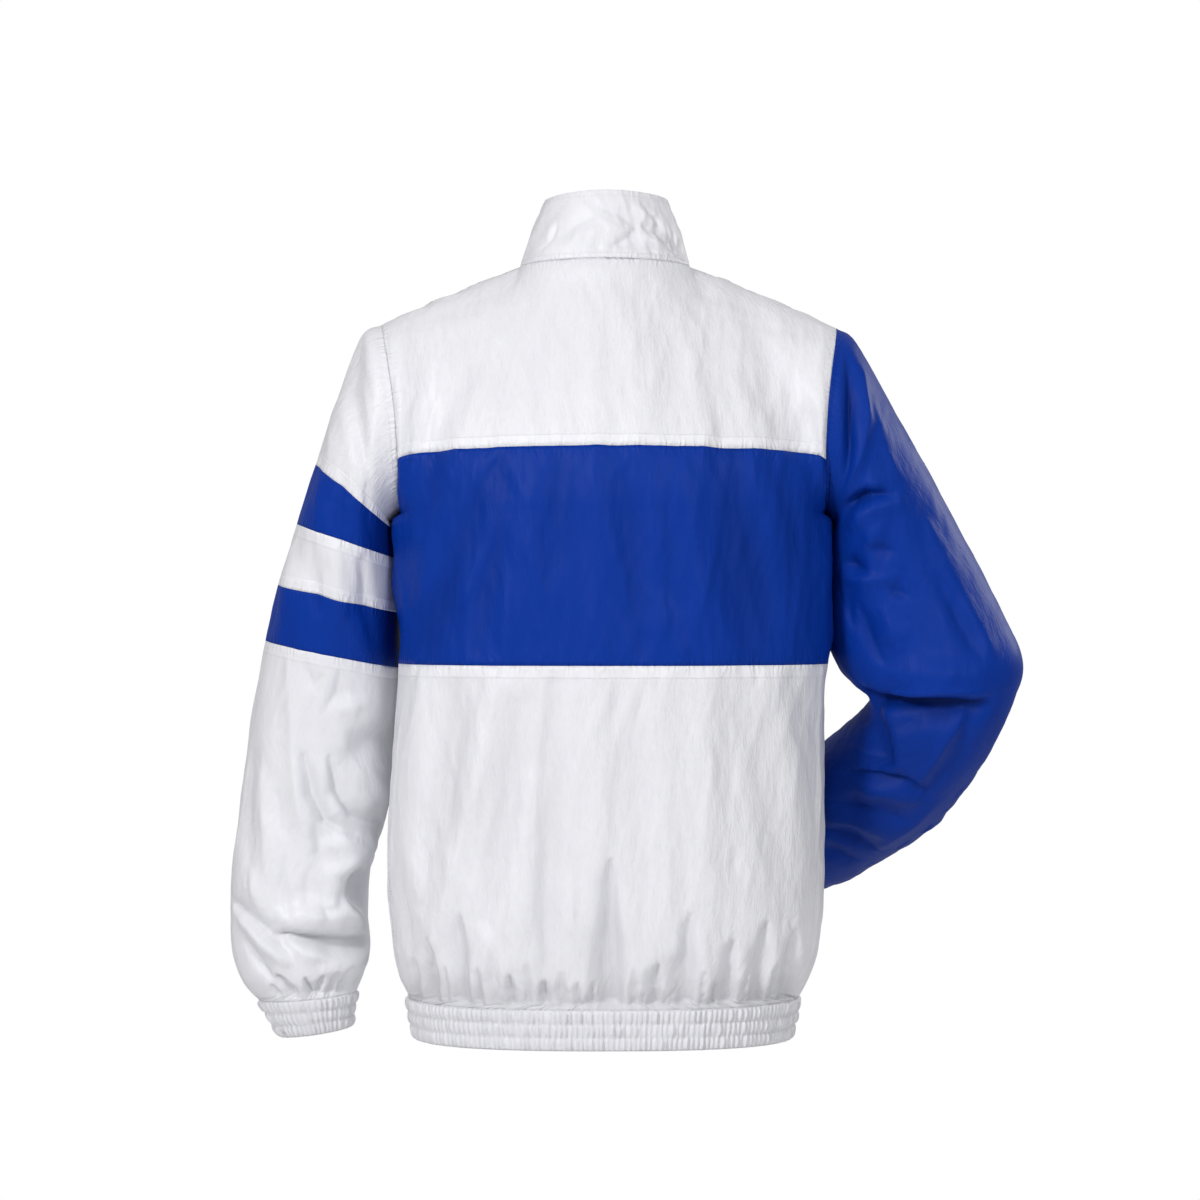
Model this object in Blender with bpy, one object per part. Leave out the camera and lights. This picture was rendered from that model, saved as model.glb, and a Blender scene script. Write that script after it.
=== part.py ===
"""Stand-collar windbreaker in its worn form: hollow cloth panels, elastic hem and cuffs, front zip.

Frame: metres, +Z up, front towards -Y, the wearer's left towards +X.
The origin is the middle of the neck opening at the height of the back collar seam.

The whole coat is one outer sheet of quads. Torso, shoulders and sleeves share their seam points,
each panel gets its own inner face one wall in, and its edges are drawn back half a seam gap.
"""
import math

import bmesh
import bpy
import numpy as np

MM = 0.001

# ---- driving sizes, metres ----
WALL = 0.0015            # cloth with its seam allowances
SEAM_GAP = 0.00032       # clear gap between two sewn panels
ARMPIT_Z = -0.230
YOKE_SEAM_Z = -0.1727    # at centre back; the seam drops a little towards the armholes
YOKE_SEAM_DROP = 0.0105
BAND_SEAM_Z = -0.367
HEM_SEAM_Z = -0.672
HEM_BOTTOM_Z = -0.7085
ARMHOLE_DEPTH = 0.080    # half the armhole, front to back
ZIP_EDGE = 0.0090        # half the slot between the two fronts
TAPE_EDGE = 0.0035       # inner edge of each zip tape
CHAIN_HALF = 0.0031
CHAIN_THICK = 0.0030
CHAIN_PROUD = 0.0009     # chain face in front of the tape face

# ---- mesh counts ----
SHOULDER_COLS = 10
BACK_NECK_COLS = 14
FRONT_NECK_COLS = 7
YOKE_ROWS = 7
ARM_ROWS = 3             # band rows between armpit and yoke seam
BAND_ROWS = 5            # band rows under the armpit
BACK_COLS = 2 * SHOULDER_COLS + BACK_NECK_COLS
FRONT_COLS = SHOULDER_COLS + FRONT_NECK_COLS
HEM_RIBS, HEM_INNER = 72, 48
CUFF_RIBS, CUFF_INNER = 28, 14
FOLD_SCALE = 1.35

# ---- body sections, mm, hem seam upwards ----
# z, left, right, back, front, y of left side seam, y of right side seam
BODY = np.array([
    (-672, 182, -175, 119, -120, 30, -4),
    (-655, 190, -184, 125, -127, 34, -4),
    (-635, 195, -191, 129, -131, 36, -4),
    (-600, 199, -196, 131, -134, 38, -4),
    (-530, 201, -198, 132, -136, 36, -4),
    (-450, 196, -199, 133, -135, 28, -2),
    (-367, 190, -199, 134, -133, 14, 0),
    (-290, 189, -199, 136, -131, 4, 0),
    (-230, 189, -199, 137, -128, 0, 0),
], float)
BACK_POWER, FRONT_POWER = 2.55, 2.05   # roundness of the section's back and front half
LOWER_ROWS = (-672, -660, -647, -630, -608, -582, -553, -520, -487, -455, -424, -395, -367)

# ---- neck and shoulders, mm ----
NECK_SEAM = dict(left=80, right=-76.4, y_mid=-6, y_back=58, y_front=-80, z_side=-2, z_back=0, z_front=-38)
COLLAR_TOP = dict(left=57, right=-56.4, y_mid=-8, y_back=43, y_front=-66, z_side=59, z_back=63, z_front=47)
SHOULDER_TIP = dict(left=(206, 0, -56), right=(-210, 0, -59))

# ---- sleeves, mm, armhole to wrist; row 0 is replaced by the armhole itself ----
# outer x, outer z, inner x, inner z, y of the middle, half depth, rings up to this row
LEFT_ARM = np.array([
    (206, -56, 189, -230, 0, 80, 0),
    (225, -67, 196, -235, 0, 80, 1),
    (247, -124, 199, -239, -2, 80, 2),
    (268, -184, 196, -244, -8, 80, 2),
    (286, -239, 193, -271, -17, 79, 2),
    (304, -295, 192, -321, -29, 77, 2),
    (317, -347, 192, -372, -42, 75, 2),
    (329, -403, 194, -430, -52, 72, 2),
    (338, -459, 199, -478, -57, 69, 2),
    (346, -515, 208, -514, -60, 67, 2),
    (352, -571, 222, -562, -60, 64, 2),
    (353, -610, 224, -603, -60, 62, 2),
    (350, -640, 222, -636, -60, 59, 1),
    (342, -664, 228, -658, -60, 54, 1),
    (326, -684, 235, -676, -60, 43, 1),
], float)
LEFT_CUFF_END = (306, -718, 241, -709, -60, 32)
RIGHT_ARM = np.array([
    (-210, -59, -199, -230, 0, 80, 0),
    (-229, -72, -205, -236, -2, 80, 1),
    (-259, -125, -207, -243, -5, 79, 2),
    (-290, -180, -202, -260, -8, 77, 2),
    (-320, -235, -202, -298, -12, 75, 2),
    (-346, -282, -202, -338, -13, 73, 2),
    (-370, -330, -212, -368, -10, 71, 2),
    (-384, -368, -228, -388, -6, 69, 1),
    (-375, -403, -242, -399, -10, 66, 1),
    (-351, -457, -238, -412, -28, 62, 1),
    (-317, -510, -221, -428, -58, 58, 2),
    (-289, -537, -200, -448, -88, 56, 1),
    (-261, -558, -180, -467, -114, 54, 2),
    (-236, -576, -162, -487, -137, 50, 1),
    (-208, -587, -147, -511, -156, 42, 1),
], float)
# the plain right sleeve is one cut piece, kept as four lengths so that each is a simple short tube
SLEEVE_PARTS = {
    "left": (("cap", 0, 3), ("stripe_upper", 3, 4), ("middle", 4, 5), ("stripe_lower", 5, 6), ("lower", 6, 14)),
    "right": (("cap", 0, 3), ("upper", 3, 6), ("elbow", 6, 10), ("forearm", 10, 14)),
}
RIGHT_CUFF_END = (-184, -594, -138, -537, -171, 30)

# ---- main folds, mm: x0, z0, x1, z1, width, depth (outwards is positive) ----
BACK_FOLDS = np.array([
    (125, -89, 156, -168, 16, -4.0),      # yoke, towards the left armhole
    (59, -60, 57, -170, 13, -2.2),
    (28, -40, 24, -170, 14, 1.8),
    (-4, -60, -6, -170, 14, -2.0),
    (-58, -70, -62, -170, 15, -2.4),
    (-90, -110, -108, -170, 14, -3.2),
    (-130, -115, -161, -168, 15, -3.6),
    (103, -195, 165, -344, 20, -6.0),     # band
    (94, -221, 130, -309, 18, 4.0),
    (74, -221, 116, -353, 15, -4.0),
    (42, -186, 50, -274, 17, -3.2),
    (6, -177, 2, -362, 26, 3.6),
    (-20, -239, -29, -353, 17, -4.0),
    (-70, -210, -72, -350, 22, 3.0),
    (-104, -186, -130, -353, 26, -7.0),
    (94, -388, 156, -613, 22, 5.0),       # lower back
    (143, -397, 160, -573, 20, -5.5),
    (72, -420, 92, -600, 16, -3.0),
    (46, -388, 55, -655, 20, -5.0),
    (6, -379, 14, -652, 20, 4.5),
    (-26, -397, -29, -560, 18, -4.5),
    (-86, -388, -86, -655, 24, 4.5),
    (-126, -397, -161, -573, 26, -6.0),
    (-5, -545, -6, -668, 10, -7.0),       # gathers above the hem band
    (160, -618, 158, -668, 11, -6.0),
    (131, -592, 128, -668, 11, -6.0),
    (85, -640, 82, -668, 10, -4.5),
    (-45, -630, -44, -668, 10, -4.5),
    (-73, -592, -72, -668, 11, -6.0),
    (-112, -612, -110, -668, 11, -5.5),
    (-143, -596, -138, -668, 11, -6.0),
], float)
FRONT_FOLDS = np.array([
    (60, -60, 150, -165, 20, -4.0),       # shoulder to armhole, both sides
    (-64, -66, -152, -170, 20, -4.0),
    (110, -190, 80, -350, 20, -4.5),
    (-104, -190, -86, -340, 22, -5.0),
    (150, -240, 130, -355, 20, 4.0),
    (-150, -245, -140, -350, 20, 4.0),
    (48, -200, 46, -350, 18, 3.0),
    (-50, -210, -46, -355, 18, 3.0),
    (60, -390, 76, -640, 22, -5.0),
    (-58, -390, -84, -560, 22, -5.0),
    (112, -390, 122, -650, 22, 5.0),
    (-120, -390, -126, -650, 24, 4.5),
    (150, -420, 158, -600, 20, -4.5),
    (-160, -560, -156, -660, 16, -4.5),
    (34, -600, 34, -668, 11, -5.0),
    (92, -610, 90, -668, 11, -5.5),
    (138, -600, 134, -668, 11, -5.5),
    (-36, -604, -36, -668, 11, -5.0),
    (-78, -596, -76, -668, 11, -5.5),
    (-112, -612, -108, -668, 11, -5.0),
], float)
LEFT_ARM_FOLDS = np.array([
    (228, -85, 216, -190, 14, -3.5),      # down from the shoulder
    (205, -120, 192, -190, 13, -3.0),
    (284, -455, 262, -540, 18, -5.5),
    (258, -455, 246, -500, 16, -4.0),
    (224, -500, 236, -510, 18, 3.5),
    (296, -370, 290, -530, 20, 3.5),
    (346, -592, 296, -636, 14, -4.5),
    (302, -618, 222, -612, 12, 6.0),      # overhang above the cuff
    (302, -646, 232, -636, 12, -5.5),
], float)
RIGHT_ARM_FOLDS = np.array([
    (-224, -80, -230, -165, 16, -5.0),
    (-230, -170, -212, -220, 15, -4.5),
    (-262, -210, -204, -250, 15, -4.5),
    (-268, -150, -330, -300, 20, 4.0),
    (-214, -282, -240, -284, 14, -3.5),
    (-246, -398, -356, -402, 11, -6.5),   # across the elbow
    (-256, -384, -350, -376, 16, 4.5),
    (-350, -410, -300, -480, 18, -4.5),
    (-258, -408, -258, -462, 14, -4.0),
    (-228, -472, -296, -492, 16, 4.5),
    (-280, -508, -230, -520, 15, -4.0),
], float)

# ---- colours and surface (base colour, roughness, metallic) ----
WHITE = (0.80, 0.80, 0.83, 1.0), 0.55, 0.0
BLUE = (0.008, 0.034, 0.26, 1.0), 0.5, 0.0
TAPE = (0.78, 0.78, 0.81, 1.0), 0.8, 0.0
PLASTIC = (0.76, 0.76, 0.79, 1.0), 0.35, 0.0
METAL = (0.70, 0.70, 0.72, 1.0), 0.3, 1.0

UP = np.array([0.0, 0.0, 1.0])


def smoothstep(lo, hi, x):
    """0 below lo, 1 above hi, eased between."""
    t = np.clip((np.asarray(x, float) - lo) / (hi - lo), 0.0, 1.0)
    return t * t * (3 - 2 * t)


def unit(v):
    return v / np.maximum(np.linalg.norm(v, axis=-1, keepdims=True), 1e-12)


def hermite(p0, m0, p1, m1, t):
    """Cubic from p0 to p1 with end tangents m0 and m1."""
    return ((2 * t**3 - 3 * t**2 + 1) * p0 + (t**3 - 2 * t**2 + t) * m0
            + (3 * t**2 - 2 * t**3) * p1 + (t**3 - t**2) * m1)


def table_at(keys, values, key):
    """Smooth curve through table rows: values at key, keys rising."""
    slope = np.gradient(values, keys, axis=0)
    i = int(np.clip(np.searchsorted(keys, key) - 1, 0, len(keys) - 2))
    step = keys[i + 1] - keys[i]
    return hermite(values[i], slope[i] * step, values[i + 1], slope[i + 1] * step, (key - keys[i]) / step)


# ---------------------------------------------------------------- body

def section(z, side, shares):
    """Points of the body section at height z. side is back, right or left (front); shares run
    counterclockwise seen from above along that side's length."""
    left, right, back, front, seam_l, seam_r = table_at(BODY[:, 0], BODY[:, 1:], z / MM) * MM
    mid_x, half_w = (left + right) / 2, (left - right) / 2
    angle = np.linspace(-math.pi / 2, 3 * math.pi / 2, 1441)
    c, s = np.cos(angle), np.sin(angle)
    power = np.where(s >= 0, BACK_POWER, FRONT_POWER)
    x = mid_x + half_w * np.sign(c) * np.abs(c) ** (2 / power)
    y = np.where(s >= 0, back, -front) * np.sign(s) * np.abs(s) ** (2 / power)
    length = np.concatenate([[0], np.cumsum(np.hypot(np.diff(x), np.diff(y)))])
    quarter = len(angle) // 4
    first, last = slice(0, 2 * quarter), slice(2 * quarter, len(angle))
    at_left = np.interp(seam_l, y[first], length[first])
    at_right = np.interp(-seam_r, -y[last], length[last])
    zip_l = np.interp(ZIP_EDGE, x[:quarter], length[:quarter])
    zip_r = np.interp(ZIP_EDGE, -x[-quarter:][::-1], length[-quarter:][::-1])
    start, stop = {"left": (zip_l, at_left), "back": (at_left, at_right), "right": (at_right, zip_r)}[side]
    at = start + (stop - start) * np.asarray(shares)
    return np.stack([np.interp(at, length, x), np.interp(at, length, y), np.full(len(at), z)], 1)


def neck_loop(size, angle):
    """Points round a neck edge; angle 0 is the wearer's left, a quarter turn is centre back."""
    c, s = np.cos(angle), np.sin(angle)
    back = s >= 0
    x = (size["left"] + size["right"]) / 2 + (size["left"] - size["right"]) / 2 * c
    y = size["y_mid"] + np.where(back, (size["y_back"] - size["y_mid"]) * s, (size["y_mid"] - size["y_front"]) * s)
    z = size["z_side"] + np.where(back, size["z_back"] - size["z_side"], size["z_front"] - size["z_side"]) * s * s
    return np.stack([x, y, z], 1) * MM


def zip_angle(size):
    """How far from centre front, in turn, the neck edge meets the zip tape."""
    half = (size["left"] - size["right"]) / 2 * MM
    mid = (size["left"] + size["right"]) / 2 * MM
    return math.asin((ZIP_EDGE - mid) / half), math.asin((ZIP_EDGE + mid) / half)


def neck_angles(size, side, count):
    """Angles of the neck points of one side, counterclockwise."""
    to_left, to_right = zip_angle(size)
    lo, hi = {"back": (0, math.pi), "right": (math.pi, 1.5 * math.pi - to_right),
              "left": (-0.5 * math.pi + to_left, 0)}[side]
    return np.linspace(lo, hi, count + 1)


def top_edge(side):
    """Shoulder seams and neck seam along the top of one side, counterclockwise."""
    tips = {k: np.array(v, float) * MM for k, v in SHOULDER_TIP.items()}
    neck = neck_loop(NECK_SEAM, neck_angles(NECK_SEAM, side, BACK_NECK_COLS if side == "back" else FRONT_NECK_COLS))
    share = np.linspace(0, 1, SHOULDER_COLS + 1)[:, None]
    sag = 0.002 * np.sin(math.pi * share) * UP

    def seam(tip, neck_end):
        return tip + (neck_end - tip) * share + sag
    if side == "back":
        return np.concatenate([seam(tips["left"], neck[0]), neck[1:-1], seam(tips["right"], neck[-1])[::-1]])
    if side == "right":
        return np.concatenate([seam(tips["right"], neck[0]), neck[1:]])
    return np.concatenate([neck[:-1], seam(tips["left"], neck[-1])[::-1]])


def upper_side(side):
    """Rows of points from the armpit ring up to the shoulders for one side."""
    cols = BACK_COLS if side == "back" else FRONT_COLS
    share = np.linspace(0, 1, cols + 1)
    foot, top = section(ARMPIT_Z, side, share), top_edge(side)
    # 1 on an armhole edge, 0 well inside the panel
    if side == "back":
        edge, neck = np.abs(2 * share - 1), smoothstep(0.75, 0.1, np.abs(2 * share - 1))
    else:
        edge = 1 - share if side == "right" else share
        neck = smoothstep(0.75, 0.1, edge)
    near = smoothstep(0.62, 1.0, edge)[:, None]
    out = 1.0 if side == "back" else -1.0
    rise = (top[:, 2] - foot[:, 2])[:, None]
    arm = np.array([0.0, 4 * ARMHOLE_DEPTH * out, 0.0])
    leave = near * arm + (1 - near) * (np.array([0, 0.02 * out, 0]) + UP * rise * 1.05)
    lean = np.stack([0 * neck, -out * (0.20 - 0.10 * neck), 0.02 + 0.10 * neck], 1)
    reach = near * -arm + (1 - near) * lean

    def column(j, t):
        point = hermite(foot[j], leave[j], top[j], reach[j], t)
        sign = np.sign(foot[j, 0])
        return point - np.array([sign * 0.007 * edge[j] ** 6 * math.sin(math.pi * t) ** 2, 0, 0])
    rows = ARM_ROWS + YOKE_ROWS
    grid = np.zeros((rows + 1, cols + 1, 3))
    for j in range(cols + 1):
        seam_z = YOKE_SEAM_Z - YOKE_SEAM_DROP * edge[j] ** 2.5
        lo, hi = 0.0, 1.0
        for _ in range(40):
            mid = (lo + hi) / 2
            lo, hi = (mid, hi) if column(j, mid)[2] < seam_z else (lo, mid)
        for i in range(rows + 1):
            t = lo * i / ARM_ROWS if i <= ARM_ROWS else lo + (1 - lo) * (i - ARM_ROWS) / YOKE_ROWS
            grid[i, j] = column(j, t)
    return grid


# ---------------------------------------------------------------- sleeves

def arm_rings(table):
    """Section frames down a sleeve: centre, outward half axis, depth axis, for each ring, and the ring
    number at which each table row lies."""
    values = table[:, :6] * MM
    rows, marks = [0.0], [0]
    for i in range(1, len(table)):
        count = int(table[i, 6])
        rows += [i - 1 + (k + 1) / count for k in range(count)]
        marks.append(marks[-1] + count)
    keys = np.arange(len(table), dtype=float)
    at = np.array([table_at(keys, values, r) for r in rows])
    outer = np.stack([at[:, 0], at[:, 4], at[:, 1]], 1)
    inner = np.stack([at[:, 2], at[:, 4], at[:, 3]], 1)
    centre, half = (outer + inner) / 2, (outer - inner) / 2
    along = unit(np.gradient(centre, axis=0))
    # sections of a hanging sleeve stay level from back to front, those of a bent forearm turn with it
    along[:, 1] *= smoothstep(0.25, 0.5, np.abs(along[:, 1]))
    depth = unit(np.cross(half, along)) * at[:, 5:6]
    depth *= np.sign(depth[:, 1:2])
    return centre, half, depth, marks


def sleeve_grid(table, armhole):
    """Rings of points down a sleeve, starting on the armhole loop (top, back, armpit, front)."""
    centre, half, depth, marks = arm_rings(table)
    local = armhole - centre[0]
    across = local @ half[0] / (half[0] @ half[0])
    back = local @ depth[0] / (depth[0] @ depth[0])
    loop = np.unwrap(np.arctan2(back, across))
    loop -= 2 * math.pi * round(loop[0] / (2 * math.pi))
    even = np.linspace(0, 2 * math.pi, len(armhole), endpoint=False)
    rest = local - np.cos(loop)[:, None] * half[0] - np.sin(loop)[:, None] * depth[0]
    rings = []
    for k in range(len(centre)):
        mix = float(smoothstep(0, 7, k))
        turn = (loop + (even - loop) * mix)[:, None]
        rings.append(centre[k] + np.cos(turn) * half[k] + np.sin(turn) * depth[k] + rest * (1 - mix))
    return np.array(rings), marks


# ---------------------------------------------------------------- the shared sheet

class Sheet:
    """Outer points and quads of the whole coat; each quad belongs to one panel."""

    def __init__(self):
        self.points, self.quads, self.panel = [], [], []

    def add(self, points):
        first = len(self.points)
        self.points.extend(np.asarray(points).reshape(-1, 3))
        return np.arange(first, first + np.asarray(points).size // 3).reshape(np.asarray(points).shape[:-1])

    def cover(self, ids, panel, flip=False):
        for i in range(ids.shape[0] - 1):
            for j in range(ids.shape[1] - 1):
                quad = [ids[i, j], ids[i, j + 1], ids[i + 1, j + 1], ids[i + 1, j]]
                self.quads.append(quad[::-1] if flip else quad)
                self.panel.append(panel)

    def finish(self):
        self.points = np.array(self.points)
        self.quads = np.array(self.quads)
        self.panel = np.array(self.panel)

    def face_normals(self):
        p = self.points[self.quads]
        return unit(np.cross(p[:, 2] - p[:, 0], p[:, 3] - p[:, 1]))

    def point_normals(self):
        """Corner-angle weighted normals, and how much further a mitred offset has to reach."""
        faces = self.face_normals()
        total = np.zeros_like(self.points)
        spread = np.zeros(len(self.points))
        weight = np.zeros(len(self.points))
        p = self.points[self.quads]
        angles = np.zeros((len(self.quads), 4))
        for k in range(4):
            a, b = unit(p[:, k - 1] - p[:, k]), unit(p[:, (k + 1) % 4] - p[:, k])
            angles[:, k] = np.arccos(np.clip(np.sum(a * b, 1), -1, 1))
            np.add.at(total, self.quads[:, k], faces * angles[:, k:k + 1])
        normal = unit(total)
        for k in range(4):
            np.add.at(spread, self.quads[:, k], np.sum(faces * normal[self.quads[:, k]], 1) * angles[:, k])
            np.add.at(weight, self.quads[:, k], angles[:, k])
        return normal, 1 / np.clip(spread / np.maximum(weight, 1e-9), 0.42, 1.0)


def fold_height(points, normals, folds, facing):
    """Outward shift in metres of each point from a table of folds on one side of the coat."""
    x, z = points[:, 0] / MM, points[:, 2] / MM
    height = np.zeros(len(points))
    for x0, z0, x1, z1, width, depth in folds:
        dx, dz = x1 - x0, z1 - z0
        along = np.clip(((x - x0) * dx + (z - z0) * dz) / (dx * dx + dz * dz), 0, 1)
        away = np.hypot(x - x0 - along * dx, z - z0 - along * dz)
        height += FOLD_SCALE * depth * np.exp(-(away / width) ** 2) * (0.35 + 0.65 * np.sin(math.pi * (0.12 + 0.76 * along)))
    return height * MM * smoothstep(0.05, 0.55, normals[:, 1] * facing)


def build_sheet():
    sheet = Sheet()
    lower_z = np.array(LOWER_ROWS) * MM
    band_z = np.linspace(BAND_SEAM_Z, ARMPIT_Z, BAND_ROWS + 1)[1:]
    heights = np.concatenate([lower_z, band_z])
    shares = {"back": np.linspace(0, 1, BACK_COLS + 1), "right": np.linspace(0, 1, FRONT_COLS + 1),
              "left": np.linspace(0, 1, FRONT_COLS + 1)}
    body = {s: np.array([section(z, s, shares[s]) for z in heights]) for s in shares}
    back = sheet.add(body["back"])
    right = np.concatenate([back[:, -1:], sheet.add(body["right"][:, 1:])], 1)
    left = np.concatenate([sheet.add(body["left"][:, :-1]), back[:, :1]], 1)

    upper = {s: upper_side(s) for s in shares}
    u_back = np.concatenate([back[-1:], sheet.add(upper["back"][1:])], 0)
    # the fronts take their shoulder seam points from the back
    def front_ids(grid, foot, seam, seam_first):
        rows = sheet.add(grid[1:-1])
        n = SHOULDER_COLS + 1
        own = sheet.add(grid[-1, n:] if seam_first else grid[-1, :-n])
        top = np.concatenate([seam, own] if seam_first else [own, seam])
        return np.concatenate([foot[None], rows, top[None]], 0)
    n = SHOULDER_COLS + 1
    u_right = front_ids(upper["right"], right[-1], u_back[-1, -n:][::-1], True)
    u_left = front_ids(upper["left"], left[-1], u_back[-1, :n][::-1], False)

    cut = len(LOWER_ROWS) - 1
    for ids, up, name in ((back, u_back, "back"), (right, u_right, "front_right"), (left, u_left, "front_left")):
        sheet.cover(ids[:cut + 1], name + "_lower")
        sheet.cover(ids[cut:], name + "_band")
        sheet.cover(up[:ARM_ROWS + 1], name + "_band")
        sheet.cover(up[ARM_ROWS:], name + "_upper")

    sleeves = {}
    rows = ARM_ROWS + YOKE_ROWS
    loops = {"left": np.concatenate([u_back[::-1, 0], u_left[1:rows, -1]]),
             "right": np.concatenate([u_back[::-1, -1], u_right[1:rows, 0]])}
    for arm, table in (("left", LEFT_ARM), ("right", RIGHT_ARM)):
        loop = loops[arm]
        rings, marks = sleeve_grid(table, np.array([sheet.points[i] for i in loop]))
        ids = np.concatenate([loop[None], sheet.add(rings[1:])], 0)
        ids = np.concatenate([ids, ids[:, :1]], 1)
        for part, a, b in SLEEVE_PARTS[arm]:
            sheet.cover(ids[marks[a]:marks[b] + 1], f"sleeve_{arm}_{part}", flip=arm == "left")
        sleeves[arm] = ids
    sheet.finish()
    return sheet, sleeves


def press_folds(sheet, sleeves):
    """Moves the sheet's points along their normals by the fold tables."""
    normal, _ = sheet.point_normals()
    arm_of = np.zeros(len(sheet.points), int)
    arm_of[sleeves["left"][2:].ravel()] = 1
    arm_of[sleeves["right"][2:].ravel()] = 2
    shift = np.zeros(len(sheet.points))
    for number, tables in ((0, ((BACK_FOLDS, 1), (FRONT_FOLDS, -1))), (1, ((LEFT_ARM_FOLDS, 1),)),
                           (2, ((RIGHT_ARM_FOLDS, 1),))):
        for folds, facing in tables:
            mine = arm_of == number
            shift[mine] += fold_height(sheet.points[mine], normal[mine], folds, facing)
    # the front of each sleeve gets the same folds softened and turned round
    for number, folds in ((1, LEFT_ARM_FOLDS), (2, RIGHT_ARM_FOLDS)):
        mine = arm_of == number
        turned = folds * np.array([1, 1, 1, 1, 1.2, 0.7])
        turned[:, 1] -= 18
        turned[:, 3] -= 6
        shift[mine] += fold_height(sheet.points[mine], normal[mine], turned, -1)
    x, z = sheet.points[:, 0], sheet.points[:, 2]
    torso = arm_of == 0
    calm = np.ones(len(sheet.points))
    calm[torso] *= smoothstep(0, 0.010, z[torso] - HEM_SEAM_Z)
    front = torso & (normal[:, 1] < 0)
    calm[front] *= smoothstep(0.010, 0.045, np.abs(x[front]))
    calm[torso] *= smoothstep(0.010, 0.05, np.hypot(np.hypot(x, sheet.points[:, 1]) - 0.078, z)[torso])
    for arm, tip in SHOULDER_TIP.items():
        side = 1 if arm == "left" else -1
        edge = torso & (x * side > 0) & (z > ARMPIT_Z - 0.02)
        calm[edge] *= smoothstep(0.0, 0.02, 0.206 - np.abs(x[edge])) * 0.7 + 0.3
        calm[sleeves[arm][0]] = 0
        calm[sleeves[arm][1]] *= 0.3
        calm[sleeves[arm][-1]] = 0
    sheet.points = sheet.points + normal * (shift * calm)[:, None]


def add_object(name, points, faces, look, smooth=True):
    """A named object with its own material, from plain points and faces."""
    colour, roughness, metallic = look
    mesh = bpy.data.meshes.new(name)
    bm = bmesh.new()
    corners = [bm.verts.new(tuple(p)) for p in points]
    for face in faces:
        bm.faces.new([corners[i] for i in face])
    if not smooth:
        bmesh.ops.recalc_face_normals(bm, faces=bm.faces)
    bm.to_mesh(mesh)
    bm.free()
    obj = bpy.data.objects.new(name, mesh)
    bpy.context.scene.collection.objects.link(obj)
    material = bpy.data.materials.new(name)
    material.use_nodes = True
    shader = material.node_tree.nodes["Principled BSDF"]
    shader.inputs["Base Color"].default_value = colour
    shader.inputs["Roughness"].default_value = roughness
    shader.inputs["Metallic"].default_value = metallic
    mesh.materials.append(material)
    if smooth:
        mesh.shade_smooth()
        mesh.set_sharp_from_angle(angle=math.radians(50))
    return obj


def cut_panel(sheet, normal, reach, panel):
    """Closed wall of one panel: outer points, inner points one wall in, and a rim round its edges."""
    mine = sheet.quads[sheet.panel == panel]
    normals = sheet.face_normals()[sheet.panel == panel]
    ids = np.unique(mine)
    local = {int(g): k for k, g in enumerate(ids)}
    quads = np.array([[local[int(i)] for i in q] for q in mine])
    outer = sheet.points[ids].copy()
    used = {}
    for q, face in zip(quads, normals):
        for k in range(4):
            a, b = int(q[k]), int(q[(k + 1) % 4])
            if a != b:
                used[(a, b)] = face
    edges = [(a, b, face) for (a, b), face in used.items() if (b, a) not in used]
    inward = {}
    for a, b, face in edges:
        direction = unit(np.cross(face, outer[b] - outer[a]))
        inward.setdefault(a, []).append(direction)
        inward.setdefault(b, []).append(direction)
    pull = np.zeros_like(outer)
    for i, dirs in inward.items():
        both = np.mean(dirs, axis=0)
        pull[i] = both / max(both @ both, 0.3) * (SEAM_GAP / 2) * reach[ids[i]]
    inner = outer - normal[ids] * (WALL * reach[ids])[:, None] + pull
    outer = outer + pull
    n = len(ids)
    faces = []
    for a, b, c, d in quads:
        short = np.linalg.norm(outer[a] - outer[c]) <= np.linalg.norm(outer[b] - outer[d])
        for tri in ((a, b, c), (a, c, d)) if short else ((a, b, d), (b, c, d)):
            faces.append(tri)
            faces.append((tri[2] + n, tri[1] + n, tri[0] + n))
    faces += [(b, a, a + n, b + n) for a, b, _ in edges]
    return np.concatenate([outer, inner]), faces


# ---------------------------------------------------------------- elastic hem and cuffs

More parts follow.
